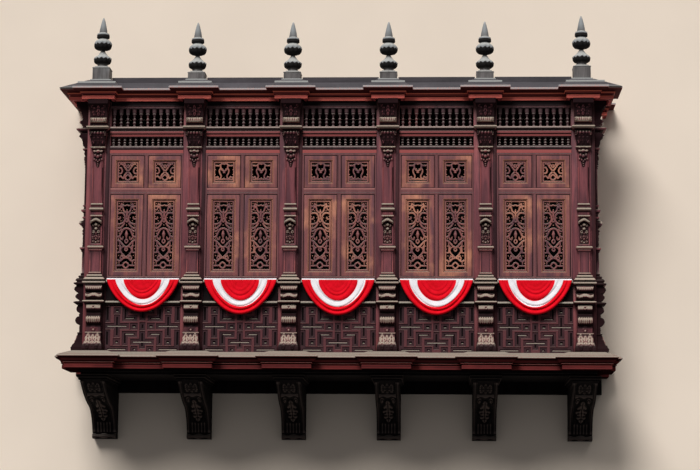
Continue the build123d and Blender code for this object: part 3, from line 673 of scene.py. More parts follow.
def strapwork(half_width):
    """The ribbed board as a depth over lines that run along every slot's and compartment's edge: the ribs'
    level, less a fall in each compartment and a further fall in each slot. All edges lie on one lattice."""
    lattice, border, lip = 0.005, 0.040, 0.002
    reach = border - lattice
    scale = half_width / drawn_half
    full = np.array([(hand * x * scale, z, a * scale, b) for x, z, a, b in slots for hand in (-1, 1)])
    edges = np.column_stack([full[:, 0] - full[:, 2], full[:, 0] + full[:, 2], full[:, 1] - full[:, 3],
                             full[:, 1] + full[:, 3]])
    edges = np.unique(np.round(edges / lattice) * lattice, axis=0)
    away = np.array([0, lattice, reach, border])
    xs = np.concatenate([(edges[:, :1] - away).ravel(), (edges[:, 1:2] + away).ravel()])
    level = edges[:, 1] - edges[:, 0] > edges[:, 3] - edges[:, 2]
    fillets = edges[level, 2:3] + np.array([0.003, 0.009])
    zs = np.concatenate([(edges[:, 2:3] - away).ravel(), (edges[:, 3:] + away).ravel(), fillets.ravel()])
    x, z = np.meshgrid(within(-half_width, np.unique(np.round(xs, 4)), half_width),
                       within(strap_low, np.unique(np.round(zs, 4)), strap_high))
    sunk, cut, dust_and_highlight_cover = np.zeros_like(x), np.zeros_like(x), np.zeros_like(x)
    for x0, x1, z0, z1 in edges:
        field = stripe(x, x0 - reach, x1 + reach, lattice) * stripe(z, z0 - reach, z1 + reach, lattice)
        sunk = np.maximum(sunk, field)
        inside = stripe(x, x0, x1, lattice) * stripe(z, z0, z1, lattice)
        cut = np.maximum(cut, inside)
        if x1 - x0 > z1 - z0:
            lower_lip = (z > z0 + lip) * (z < z0 + 0.010) * (x > x0 + lip) * (x < x1 - lip)
            dust_and_highlight_cover = np.maximum(dust_and_highlight_cover, inside * lower_lip)
    # The slots are black as painted shade, and the lip along a level slot's lower edge is dust and painted
    # highlight.
    depth = rib_depth - (rib_depth - floor_depth) * sunk - (floor_depth - slot_depth) * (cut - 0.7 * dust_and_highlight_cover)
    wear_and_shading = np.where(cut > 0.5, -1.0, 0.9 * (1 - sunk)) * (1 - dust_and_highlight_cover) + 2.0 * dust_and_highlight_cover
    return grid(np.stack([x, -depth, z, wear_and_shading], axis=-1))


def parapet(width):
    """Dado board, dado ledge, frieze board and sill as one moulded section, with the ribbed board on it."""
    ledge, high = dado_ledge
    rib, ground = 1000 * rib_depth, 1000 * slot_depth - 4
    # Below nought: painted shade under the dado ledge and under the sill.
    board = [*section([(-40, 0), (rib, 0)], base_top), *section([(rib, 0), (ground, 0)], strap_low),
             *section([(ground, 0), (rib, 0, 0.5), (rib, 6, 0.5)], strap_high),
             *section([(14, -40, -1), (18, -30, -1), (32, -14), (52, -4, -0.9)], ledge),
             *round_nose(high - 0.004, ledge + 0.006, 0.080, 6),
             *section([(30, 4, 0.5), (20, 14, -0.9)], high),
             *section([(20, -44, -0.9), (34, -28), (52, -4, -0.9)], sill_bottom),
             *round_nose(sill_bottom + 0.045, sill_bottom + 0.004, 0.080, 6),
             *section([(45, 55, 0.5), (20, 64)], sill_bottom), *section([(20, 0), (-40, 0)], sill_top)]
    return joined([length_of(board, width), strapwork(width / 2)])


in_each_bay("parapet", lambda width, name: parapet(width), "carved_wood", DADO, "parapet_panel", sharp=25)


# Pilasters: carved skins, worked out as a depth over x and z, on plain posts
def window(value, low, high, soft):
    """One between low and high, fading to nought over a distance on each side."""
    rise = np.clip((value - low) / soft + 0.5, 0, 1)
    fall = np.clip((high - value) / soft + 0.5, 0, 1)
    return (rise * fall) ** 2 * (3 - 2 * rise * fall)


def dome(x, z, x0, z0, rx, rz):
    """Upper half of an ellipsoid of height one over an ellipse."""
    return np.sqrt(np.clip(1 - ((x - x0) / rx) ** 2 - ((z - z0) / rz) ** 2, 0, 1))


def acanthus(x, z, x0, low, high, half, lobes):
    """A leaf that hangs or stands: its half width swells as a sine and is notched into lobes, its body is
    rounded across, and a vein runs down the middle with side veins aslant."""
    t = np.clip((z - low) / (high - low), 0, 1)
    edge = half * np.sin(pi * t) ** 0.55 * (0.72 + 0.28 * np.abs(np.cos(lobes * pi * t)))
    across = np.abs(x - x0) / np.maximum(edge, 1e-4)
    body = np.sqrt(np.clip(1 - across ** 2, 0, 1)) * (edge > 0.002)
    vein = np.exp(-((x - x0) / 0.006) ** 2)
    ribs = 0.5 + 0.5 * np.cos(2 * pi * (lobes * t * 1.5 + np.abs(x - x0) / half))
    return body * (0.62 + 0.38 * ribs) * (1 - 0.45 * vein)


def spiral(x, z, x0, z0, radius, hand):
    """A volute: a ridge that winds in as the angle and the distance from its eye grow, with a bead."""
    dx, dz = (x - x0) * hand, z - z0
    turns = 1.6
    rho = np.hypot(dx, dz)
    wind = np.cos(2 * pi * (turns * rho / radius - np.arctan2(dz, dx) / (2 * pi)))
    ridge = (0.55 + 0.45 * wind) * np.clip((radius - rho) / (0.25 * radius), 0, 1)
    return np.maximum(ridge, dome(x, z, x0, z0, 0.22 * radius, 0.22 * radius) * 1.3 * (rho < radius))


def roll(z, depth, z0, radius):
    """Depth of a round bar across the pilaster, its middle at a depth and height, and nought beyond it."""
    rise = np.sqrt(np.clip(radius ** 2 - (z - z0) ** 2, 0, None))
    return np.where(np.abs(z - z0) < radius, depth + rise, 0.0)


def repeated(x, pitch):
    """How far x is from the nearest of a row's middles, one of which is at nought."""
    return (np.mod(x / pitch + 0.5, 1) - 0.5) * pitch


def carvings(x, z, leaves, volutes, domes=()):
    """The heights of leaves, volutes and domes together. A row is in millimetres: its height, how far it
    stands from the middle, in which case it has a mirror image, and the sizes that its function asks for."""
    total = np.zeros(np.broadcast(x, z).shape)
    for carving, rows, kept in ((acanthus, leaves, 1), (spiral, volutes, 1), (dome, domes, 0)):
        for row in rows:
            height, x0, *sizes = metres([row], kept)[0]
            for across in (x, -x) if x0 else (x,):
                total += height * carving(across, z, x0, *sizes)
    return total


# The pilaster's own levels, from the foot up: (z, half width, depth)
stations = metres([
    (60, 160, 176), (110, 164, 190), (150, 162, 184), (190, 148, 158), (230, 136, 130), (280, 128, 108),
    (330, 124, 94), (366, 122, 86), (372, 134, 92), (380, 136, 96), (392, 134, 90), (396, 118, 66),
    (846, 118, 66), (856, 150, 100), (864, 166, 140), (874, 178, 158), (886, 181, 165), (896, 176, 158),
    (904, 160, 128), (910, 140, 80), (918, 138, 74), (1172, 138, 74), (1178, 160, 116), (1184, 182, 152),
    (1190, 190, 165), (1206, 190, 166), (1212, 187, 160), (1216, 172, 128), (1222, 164, 120),
    (1240, 164, 120), (1245, 176, 138), (1252, 176, 142), (1284, 150, 124), (1288, 140, 100),
    (1293, 130, 90), (1304, 130, 90), (1309, 134, 104), (1330, 126, 98), (1335, 112, 78), (1341, 100, 66),
    (1352, 100, 66), (1357, 104, 72), (1372, 102, 70), (1380, 94, 56), (1722, 94, 56), (1730, 100, 66),
    (1748, 106, 74), (1756, 114, 70), (1764, 122, 80), (1776, 130, 90), (1790, 133, 96), (1800, 131, 94),
    (1808, 120, 80), (1812, 98, 58), (1850, 96, 54), (2286, 96, 50), (2294, 98, 60), (2308, 98, 66),
    (2320, 98, 60), (2326, 90, 42), (2378, 90, 46), (2388, 94, 54), (2396, 104, 66), (2404, 112, 82),
    (2420, 116, 93), (2436, 113, 88), (2444, 102, 68), (2450, 94, 50), (2484, 93, 48), (2490, 96, 58),
    (2500, 99, 68), (2510, 98, 66), (2518, 95, 52), (2524, 94, 50), (3380, 94, 50), (3430, 102, 56),
    (3436, 112, 70), (3444, 122, 84), (3454, 125, 93), (3464, 122, 86), (3470, 110, 62), (3480, 106, 64),
    (3504, 106, 72), (3570, 118, 90), (3640, 134, 116), (3670, 138, 130), (3710, 140, 130),
    (3722, 130, 100), (3744, 138, 112), (3754, 160, 146), (3764, 178, 182), (3776, 186, 196),
    (3790, 185, 194), (3800, 174, 170), (3808, 150, 110), (3820, 142, 92), (3848, 142, 90),
    (3960, 142, 100), (4060, 144, 112), (4120, 150, 140), (4160, 160, 180), (4168, 165, 200),
    (4176, 165, 204), (4250, 165, 204),
], kept=0)
plain_runs, row_pitch = ((1.384, 1.716), (2.53, 3.10)), 0.0078

# Rolls: (middle's depth, middle's height, radius) of the console, the frieze and the upper bracket
console_rolls = metres([(62, 590, 72), (60, 786, 68)], kept=0)
frieze_rolls = metres([(78, 990, 52), (90, 1115, 62)], kept=0)
bracket_roll = (0.085, 3.905, 0.046)

# Leaves: (height, from the middle, foot, head, half width, lobes), from the console up to the bracket
pilaster_leaves = [
    (16, 0, 396, 510, 50, 2), (26, 75, 100, 370, 60, 3), (18, 0, 140, 360, 35, 3),
    (18, 44, 1915, 2005, 26, 2), (22, 0, 1905, 2035, 26, 2), (12, 88, 3490, 3560, 30, 2),
    (18, 72, 3965, 4120, 40, 2), (30, 0, 3975, 4140, 40, 2),
]
# Volutes: (height, from the middle, z, radius, hand)
pilaster_volutes = [
    (12, 118, 990, 28, 1), (12, 118, 1115, 28, 1), (14, 78, 2215, 22, 1), (22, 45, 2155, 34, -1),
    (20, 36, 2040, 34, 1), (16, 42, 1885, 26, -1), (10, 60, 3425, 26, 1), (24, 118, 3664, 30, 1),
    (18, 118, 3905, 34, 1), (14, 108, 4130, 30, -1),
]
# Domes: (height, from the middle, z, half width, half height), three in the hood's cluster and then the
# pendant, which narrows downwards
pilaster_domes = [
    (34, 0, 2165, 26, 30), (34, 0, 2094, 27, 24), (20, 0, 1872, 16, 14),
    (30, 0, 3385, 34, 30), (26, 58, 3390, 26, 24), (34, 0, 3300, 30, 34), (26, 46, 3318, 24, 30),
    (18, 64, 3250, 18, 20), (22, 26, 3238, 18, 22), (26, 0, 3212, 18, 18), (22, 0, 3172, 15, 15),
    (18, 0, 3140, 12, 12),
]


def carved_depth(x, z, half, depth):
    """Depth of the carving over the plain stations: rolls across, reeds, sunk panels and beads, a hood, and
    then the leaves, volutes and domes that stand on them."""
    u = x / half
    edge = np.clip((1 - np.abs(u)) / 0.05, 0, 1)
    d = depth.copy()
    # rolls, whose ends are rounded on the console and cut short on the bracket
    for at in console_rolls:
        d = np.maximum(d, roll(z, *at) * (1 - 0.06 * np.abs(u) ** 6))
    for at in frieze_rolls:
        d = np.maximum(d, roll(z, *at))
    d = np.maximum(d, roll(z, *bracket_roll) * (np.abs(u) < 0.97))
    # console: reeds and a V on the rolls, and a lip between them
    reeds = 0.010 * window(z, 0.535, 0.66, 0.02) * np.abs(np.cos(5 * pi * u))
    d += reeds - 0.006 * window(z, 0.50, 0.58, 0.02)
    d += 0.014 * np.exp(-((z - 0.748 - 1.5 * np.abs(x)) / 0.007) ** 2) * (np.abs(x) < 0.034)
    d += 0.012 * window(z, 0.665, 0.70, 0.010) * edge
    # frieze: reeds on the lower half of each roll
    for at, middle, radius in frieze_rolls:
        d += 0.010 * window(z, middle - radius, middle - 0.008, 0.012) * np.abs(np.cos(3.5 * pi * u))
    # pedestal: a sunk panel with a raised edge
    field = window(x, -0.058, 0.058, 0.006) * window(z, 1.402, 1.69, 0.006)
    edging = window(x, -0.068, 0.068, 0.006) * window(z, 1.392, 1.70, 0.006) - field
    d += 0.006 * edging - 0.004 * field
    # middle: beads and reeds under the cap, and a hood with a sunk panel under it
    d += 0.012 * dome(repeated(x, 0.034), z, 0, 2.307, 0.014, 0.014) * (np.abs(x) < 0.085)
    d += 0.008 * window(z, 2.328, 2.376, 0.008) * np.cos(3 * pi * u) ** 2
    d -= 0.012 * window(x, -0.076, 0.076, 0.006) * window(z, 1.85, 2.21, 0.006)
    crest = 2.268 - 0.048 * (np.abs(x) / 0.085) ** 1.5
    hood = window(z - crest, -0.044, 0.0, 0.012) * (np.abs(x) < 0.094)
    d = np.maximum(d, 0.050 + 0.078 * hood * (1 - 0.25 * (x / 0.09) ** 2))
    # shaft: chamfered edges
    chamfer = 0.020 * np.clip((np.abs(u) - 0.78) / 0.22, 0, 1) + 0.006 * window(np.abs(u), 0.66, 0.72, 0.03)
    d -= window(z, 2.52, 3.40, 0.02) * chamfer
    # capital: a row of eggs over a bowl of leaves; upper bracket: reeds on the roll
    d += 0.022 * dome(repeated(x, 0.050), z, 0, 3.684, 0.021, 0.028) * (np.abs(x) < 0.102)
    d += 0.014 * acanthus(repeated(x, 0.066), z, 0, 3.500, 3.625, 0.030, 2) * (np.abs(x) < 0.099)
    d += 0.008 * window(z, 3.87, 3.94, 0.01) * np.cos(5 * pi * u) ** 2
    return np.maximum(d + carvings(x, z, pilaster_leaves, pilaster_volutes, pilaster_domes), 0.02)


# Dust and painted highlight on the ledges, and painted shadow in the gaps between them, down the console and
# the frieze: (z, wear and shading)
dust_and_shading_by_height = metres([
    (60, -0.95), (180, -0.95), (205, 1.8), (340, 1.8), (348, -0.9), (358, -0.9), (362, 2), (386, 2),
    (391, -0.9), (400, -0.5), (462, -0.5), (485, -1), (530, -1), (540, 1.5), (560, 2), (640, 2), (646, -1),
    (765, -1), (774, 1.6), (790, 2), (838, 2), (844, -1), (866, -1), (872, 0), (876, 2), (904, 2),
    (909, -1), (966, -1), (974, 1.6), (990, 2), (1012, 2), (1018, -1), (1080, -1), (1090, 1.7), (1134, 2),
    (1140, -1), (1177, -1), (1184, 2), (1207, 2), (1213, -1), (1242, -1), (1247, 2), (1284, 2), (1288, -1),
    (1304, -1), (1309, 2), (1330, 2), (1335, -1), (1353, -1), (1358, 1.3), (1371, 1.2), (1376, -0.6),
    (1384, 0), (4250, 0),
])


def carved_wear(x, z, half, stands):
    """Wear and shading over a pilaster: dust, painted highlight and painted shadow by height below, moved up
    and down by a zigzag at one roll's lower edge, then by how far the carving stands out; sunk grounds are
    dark as painted shade, and plain faces stay plain."""
    u = x / half
    # below: dust and painted highlight on what looks up and painted shade on what hangs over, with dark reeds
    # and dark where it is sunk, as painted shade
    teeth = (window(z, 0.50, 0.59, 0.01) - window(z, 0.61, 0.68, 0.01)) * np.abs(repeated(x + 0.018, 0.036))
    ripple = 0.012 * window(z, 0.95, 1.025, 0.004) * np.cos(1.5 * pi * u)
    base = np.interp(z - teeth - ripple, *dust_and_shading_by_height.T)
    # Painted shade at the skin's side edges and in a V between the rolls.
    base = np.where(np.abs(u) > 0.97, np.minimum(base, -0.5), base)
    base = np.where((np.abs(x) < 0.9 * (z - 0.782)) & (z < 0.816), -1.0, base)
    reed = np.abs(repeated(x, 0.033)) < 0.14 * 0.033
    base -= 1.1 * reed * (window(z, 1.082, 1.118, 0.004) + window(z, 0.53, 0.60, 0.004))
    lower = np.where(base < 0, base, base + 2.2 * np.minimum(stands, 0))
    lower = np.where((base > 0) & (lower < np.where(z < 0.9, 1.45, 1.1)), -0.6, lower)
    lower = np.where(np.hypot(x, z - 0.43) < 0.013, 1.9, lower)
    # above: rubbed, up to dust and painted highlight, where it stands out, and darker as painted shade where
    # it is sunk and in the hood's and the pendant's clusters
    upper = np.where(stands > 0, 2.1 * stands, stands)
    upper = np.where((z > 3.115) & (z < 3.43), np.minimum(upper, 0.2), upper)
    field = window(x, -0.078, 0.078, 0.006) * window(z, 1.85, 2.22, 0.006)
    pendant = window(z, 3.122, 3.43, 0.01) * (np.abs(x) < 0.018 + 0.27 * (z - 3.12))
    hanging = 4.6 * stands - 3.55 + 0.9 * (z < 2.3)
    hanging = np.where(hanging < 1.1, np.minimum(hanging, -0.3), hanging)
    upper = np.where(pendant + window(z, 3.65, 3.73, 0.01) + field > 0.5, hanging, upper)
    garland = (np.abs(z - 3.398 - 0.010 * np.cos(x / 0.016)) < 0.010) & (np.abs(x) < 0.078)
    upper = np.where(garland, 1.6, upper)
    # the capital's bowl and the bracket, dark as painted shade, its reeded roll with dark reeds as painted
    # shade, the ledge with dust and painted highlight, and the top black as painted shadow under the cornice
    bowl = window(z, 3.475, 3.645, 0.02) + window(z, 3.95, 4.16, 0.02)
    upper = np.where(bowl > 0.5, 2.6 * stands - 2.4, upper)
    reed = np.abs(repeated(x, 0.031)) < 0.2 * 0.031
    upper = np.where((z > 3.890) & (z < 3.945) & (np.abs(u) < 0.93), np.where(reed, -0.6, 1.9), upper)
    upper = np.where((z > 3.755) & (z < 3.802), 1.9, upper)
    upper = np.where(z > 4.150, -1.0, upper)
    # the pedestal's panel edge, a dark line of painted shade in a lighter band, and the shaft, lit at its
    # left edge as painted light and dark at its right one as painted shade
    panel = 0.9 * window(np.abs(x), 0.066, 0.073, 0.003) - 0.6 * window(np.abs(x), 0.078, 0.10, 0.006)
    upper = np.where((z > 1.378) & (z < 1.72), -panel, upper)
    shaft = 0.5 * window(-u, 0.72, 0.98, 0.04) - 0.9 * window(u, 0.76, 0.99, 0.04)
    upper = np.where((z > 2.53) & (z < 3.118), shaft, upper)
    return np.clip(np.where(z < 1.380, lower, upper), -1, 2)


def spread(values, rows, columns):
    """Each value's mean over a window of rows and columns about it, from sums that run along both axes."""
    for axis, reach in ((0, rows), (1, columns)):
        padded = np.pad(values, [(reach + 1, reach) if k == axis else (0, 0) for k in (0, 1)], mode="edge")
        total = np.cumsum(padded, axis=axis)
        high = np.take(total, np.arange(2 * reach + 1, total.shape[axis]), axis=axis)
        low = np.take(total, np.arange(0, total.shape[axis] - 2 * reach - 1), axis=axis)
        values = (high - low) / (2 * reach + 1)
    return values


def carved_skin(u_low=-1.0, u_high=1.0, columns=35):
    """The carved front of a pilaster over a grid: rows up its stations, columns across its width, with
    its sides and back flat. Wear and shading follow how far a point stands out of its surroundings' mean
    depth."""
    z_stations, half_stations, depth_stations = stations.T
    z = np.arange(z_stations[0], z_stations[-1], row_pitch)
    for low, high in plain_runs:
        z = z[(z < low) | (z > high) | (np.abs(z - (low + high) / 2) < row_pitch / 2)]
    z = np.unique(np.concatenate([z, z_stations]))
    half = np.interp(z, z_stations, half_stations)[:, None]
    u = np.linspace(u_low, u_high, columns)[None, :]
    x = half * u
    height = np.repeat(z[:, None], columns, axis=1)
    plain_depth = np.repeat(np.interp(z, z_stations, depth_stations)[:, None], columns, axis=1)
    depth = carved_depth(x, height, half, plain_depth)
    stands = (depth - spread(depth, 3, 3)) / 0.010 + (depth - spread(depth, 9, 3)) / 0.030
    wear_and_shading = carved_wear(x, height, half, np.clip(stands, -1, 1))
    front = np.stack([x, -depth, height, wear_and_shading], axis=-1)
    back = front[:, [-1, 0]] * (1, 0, 1, 0) + (0, 0.004, 0, 0)
    # The flat sides are dark up to 1.34 m, as painted shade.
    back[..., 3] = np.interp(z, (1.34, 1.38), (-0.8, 0.0))[:, None]
    return grid(np.concatenate([front, back], axis=1), around=True, ends=True)


def post(x0, x1, y0, y1):
    """A plain post from the base to the ceiling."""
    return block((x0, y0, base_top), (x1, y1, ceiling_bottom), 0.006)


def edge_board(x0, x1, z1, wear_and_shading):
    """A thin board on the post's face beside the pilaster, its tone set by its wear and shading: painted
    shadow of the pilaster on the right one, painted light on the left one.
    """
    return shifted(block((x0, front_y - 0.002, base_top), (x1, front_y + 0.03, z1), 0.0015), wear_and_shading=wear_and_shading)


def darker(shape):
    """A carving in a deeper tone, as painted shade on the sides: its wear and shading drops by a step, and
    the dusty ledges turn a little dark.
    """
    points = shape[0].copy()
    points[:, 3] = np.where(points[:, 3] > 1.8, -0.2, points[:, 3] - 0.9)
    return points, shape[1]


board_from, low_board_top = 0.125, 1.17
skin = carved_skin()
half_skin = darker(carved_skin(0.0, 1.0, 18))
for n, x in enumerate(axes_x, 1):
    low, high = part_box(f"pilaster_{n}")
    shapes = [placed(skin, (x, front_y, 0.0))]
    if n in (1, 6):
        hand = 1 if n == 6 else -1
        shapes.append(placed(darker(skin), (hand * side_face, front_y + post_half, hand * pi / 2)))
        shapes.append(post(x - post_half, x + post_half, front_y, front_y + 2 * post_half))
    else:
        shapes.append(post(x - post_half, x + post_half, front_y, high[1]))
    # The board right of the pilaster is dark as painted shadow, the left one light as painted light.
    shapes.append(edge_board(x + board_from, x + post_half - 0.005, ceiling_bottom, -0.75))
    left_top = ceiling_bottom if n == 1 else low_board_top
    shapes.append(edge_board(x - post_half + 0.005, x - board_from, left_top, 0.35))
    piece(f"carved_pilaster_{n}", joined(shapes), "carved_wood", CARVED, f"pilaster_{n}", sharp=50)
for side, hand in (("left", -1), ("right", 1)):
    low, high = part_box(f"rear_pilaster_{side}")
    inner, outer = hand * (axes_x[-1] - post_half), hand * side_face
    carving = placed(half_skin if hand < 0 else mirrored(half_skin), (outer, 0.0, hand * pi / 2))
    shape = joined([carving, post(min(inner, outer), max(inner, outer), low[1], 0.0)])
    piece(f"carved_rear_{side}", shape, "carved_wood", CARVED, f"rear_pilaster_{side}", sharp=50)


# Mouldings that step forward over the pilasters, from wall to wall round the front
def stepped_plan(face, front, half, recess, blocks):
    """Plan of a fascia: face and front are the bays' and the blocks' distances from the wall, half a block's
    half width, recess and blocks the side's distances from the centre line."""
    corner_x, corner_y = axes_x[-1] + half, front_y + post_half
    left = [(-blocks, 0), (-blocks, -half), (-recess, -half), (-recess, corner_y + half),
            (-blocks, corner_y + half), (-blocks, corner_y - half), (-corner_x, corner_y - half),
            (-corner_x, -front)]
    edge = (axes_x[1] - axes_x[0]) / 2 - half
    steps = ((-edge, front), (-edge, face), (edge, face), (edge, front))
    middle = [(x + dx, -y) for x in bays_x for dx, y in steps]
    return left + middle + [(-x, y) for x, y in reversed(left)]


def moulding(edge, plan):
    """A section of (outwards, z) points, anticlockwise, carried along a plan line."""
    return carried(np.array(edge)[::-1] * (-1, 1, 1), [(x, y, 0) for x, y in plan], front=(0, 0, 1))


cornice_box, base_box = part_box("cornice"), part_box("base_cornice")
overhang, base_overhang = 0.14, 0.106
block_front, base_front = -cornice_box[0][1] - overhang, -base_box[0][1] - base_overhang
cornice_nose, block_half, base_block_half = 4.413, 0.27, 0.394
cornice_recess, base_recess, base_forward = axes_x[-1] + 0.25, axes_x[-1] + 0.30, 0.25
# Below nought this section is painted shade, black in the grooves and under the nose; the nose's front and
# top carry dust and painted highlight.
cornice_edge = [*section([
    (-60, 0), (0, 0, -0.7), (1, 3, 0.6), (3, 34, 0.3), (2, 60, 0.7), (0, 63, -1), (-12, 65, -1),
    (-12, 80, -1), (6, 82, -0.5), (8, 92, -0.4), (4, 96, -1), (18, 100, -1), (26, 103, 1), (30, 112, 1),
    (30, 120, 1), (26, 126, 1), (20, 129, -1), (60, 142, -1), (100, 148, -1), (128, 152, -1),
    (136, 155, -1), (139, 159, 1.6), (140, 165, 2),
], ceiling_bottom), *section([
    (140, 21, 2), (137, 25, 2), (130, 27, -1), (90, 34, -1), (40, 44, -0.85), (-60, 60, -0.85),
], cornice_nose)]
cornice_plan = stepped_plan(-front_y, block_front, block_half, cornice_recess, cornice_box[1][0] - overhang)
piece("cornice_moulding", moulding(cornice_edge, cornice_plan), "carved_wood", CARVED_LEVEL_PAINTED_LIGHT, "cornice",
      sharp=25)

# Below nought this section is painted shade in its grooves and under its nose; the nose's upper part carries
# dust and painted highlight.
base_edge = [*section([
    (-100, 0), (0, 0, -0.6), (3, 4, 0.5), (3, 34), (2, 60, 0.5), (0, 64, -0.6), (-6, 67, -1), (-6, 76, -1),
    (12, 79, -0.5), (19, 83, 1), (20, 90, 1.2), (12, 95, -1), (16, 104, -0.9), (30, 126, 0.4),
    (52, 142, 0.2), (74, 152, -0.6), (86, 160, -1), (90, 170, -1),
], base_box[0][2]), *round_nose(-0.018, -0.052, 0.106, 8, 2.0, -0.3),
    *section([(90, -14, -0.2), (60, 0, -0.2), (-50, 42, -0.2), (-100, 60, -0.2)])]
base_plan = stepped_plan(-front_y + base_forward, base_front, base_block_half, base_recess,
                         base_box[1][0] - base_overhang)
piece("base_moulding", moulding(base_edge, base_plan), "carved_wood", BASE, "base_cornice", sharp=25)


# Finials: a square pedestal under turned, gadrooned bulbs, a collar and a spire
def tier(half, low, high, bevel, wear_and_shading=0.0):
    """One square block about the Z axis."""
    return shifted(block((-half, -half, low), (half, half, high), bevel), wear_and_shading=wear_and_shading)


pedestal_top, neck = 4.752, 0.074


def finial(foot, pedestal, tip):
    """Pedestal blocks below, then a turned profile whose two dark bulbs ripple round as a cosine."""
    low = pedestal + neck
    tiers = [tier(0.175, foot - 0.004, foot + 0.026, 0.004, 1.6),
             tier(0.142, foot + 0.02, pedestal - 0.02, 0.006),
             tier(0.147, pedestal - 0.024, pedestal, 0.008),
             tier(0.118, pedestal - 0.01, pedestal + 0.024, 0.014)]
    lower = [*section([(100, 5), (84, 30)], pedestal), *section([
        (84, -4, -0.5), (110, 8, -1), (130, 24, -1), (140, 50, -1), (143, 82, -1), (142, 92, 0.7),
        (136, 108, 0.7), (118, 126, 0.6), (98, 140, 0.6), (72, 168, 0.3), (50, 196, 0.1), (34, 222, -0.6),
    ], low)]
    upper = section([
        (34, 222, -0.6), (40, 236, -1), (84, 247, -1), (112, 257, -1), (132, 278, -1), (141, 310, -1),
        (143, 334, -1), (142, 344, 0.7), (136, 372, 0.7), (120, 396, 0.6), (98, 416, 0.5), (74, 432, -0.2),
    ], low)
    spire = [*section([
        (64, 428, 0.7), (74, 440, 0.9), (75, 446, -0.8), (100, 450, -1), (107, 456, -1), (106, 496, -1),
        (104, 504, 0.8), (100, 522, 1.2), (80, 531, 0.8), (68, 540, 0.3), (60, 600, 0.5), (46, 670, 0.8),
        (29, 740, 0.8), (14, 790, 0.8),
    ], low), *section([(3, 0, 0.8)], tip)]
    ripple = np.interp(range(len(lower)), (0, 2, 4, 8, 11), (0, 0, 0.05, 0.05, 0))
    scallop = np.interp(range(len(upper)), (1, 3, 5, 9, 11), (0, 0.05, 0.06, 0.05, 0))
    lift = np.interp(range(12), (5, 6, 7, 8), (0, 0.010, 0.010, 0))
    return joined([*tiers, turned(lower, 48, ripple, 12, np.append(lift, (0, 0))),
                   turned(upper, 48, scallop, 12, lift), turned(spire, 32)])


for n, x in enumerate(axes_x, 1):
    low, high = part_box(f"finial_{n}")
    raised = high[2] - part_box("finial_3")[1][2]
    shape = shifted(finial(low[2], pedestal_top + raised, high[2]), x=x, y=axis_y)
    piece(f"turned_finial_{n}", shape, "carved_wood", FINIAL, f"finial_{n}")


# A thin step on the slope under each finial
def plinth_step(n):
    """A slab at two thirds of the plinth's slope, whose edges stand a little out of it."""
    share, plinth_half, lip, slope_foot = 0.66, 0.2, 0.006, cornice_nose + 0.004
    z = slope_foot + share * (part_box(f"finial_{n}")[0][2] - slope_foot)
    edges = (block_half + overhang, cornice_box[1][0] - axes_x[-1], block_front + overhang + axis_y)
    half, outer, front = [(1 - share) * edge + share * plinth_half + lip for edge in edges]
    west, east = (outer if n == 1 else half), (outer if n == 6 else half)
    x = axes_x[n - 1]
    slab = block((x - west, axis_y - front, z - 0.012), (x + east, axis_y + 0.1, z + 0.022), 0.003)
    return shifted(slab, wear_and_shading=1.8)


piece("plinth_steps", joined([plinth_step(n) for n in range(1, 7)]), "roof_wood", FINIAL)


# Corbels: an S-shaped front with raised borders, reeds, a hung leaf and two rolls, under a stepped cap
corbel_half, corbel_foot, cap_bottom = 0.2, -1.19, -0.39
corbel_leaves = [(44, 0, -980, -660, 100, 4), (20, 0, -900, -720, 45, 2), (16, 70, -560, -430, 50, 3),
                 (14, 0, -570, -420, 50, 3)]
corbel_volutes = [(22, 94, -665, 42, 1)]
corbel_back = metres([(1500, -300), (120, -300), (120, -500), (0, -500), (0, -1280), (190, -1280)], 0)
# The cap's blocks and its two edges, lighter as painted highlight: (half width, bottom, top, bevel, wear and
# shading)
cap_blocks = metres([(263, -308, -301, 2, 0.8), (249, -352, -345, 2, 0.8), (260, -345, -300, 12, 0),
                     (230, -390, -350, 10, 0), (245, -356, -340, 7, 0)])


def arc(start, end, sagitta, steps):
    """Points of a circle's arc whose middle stands off the chord by the sagitta, to the chord's left."""
    start, end = np.array(start, float), np.array(end, float)
    chord = end - start
    length = np.hypot(*chord)
    left = np.array([-chord[1], chord[0]]) / length
    radius = (length ** 2 / 4 + sagitta ** 2) / (2 * abs(sagitta))
    angle = np.arcsin(length / 2 / radius)
    t = np.linspace(-angle, angle, steps)
    along, off = radius * np.sin(t), (radius * np.cos(t) - radius * cos(angle)) * np.sign(sagitta)
    return (start + end) / 2 + np.outer(along, chord / length) + np.outer(off, left)


def cross_roll(radius, swell, half, steps, wear_and_shading, y, z):
    """A fluted roll along X at a depth and height, whose radius swells as a cosine, twice in its length."""
    t = np.linspace(0, 1, steps)
    radii = radius + swell * np.cos(4 * pi * t)
    points, faces = turned(np.column_stack([radii, half * (2 * t - 1), np.full(steps, wear_and_shading)]), 24, 0.08, 8)
    return np.column_stack([points[:, 2], y + points[:, 0], z + points[:, 1], points[:, 3]]), faces


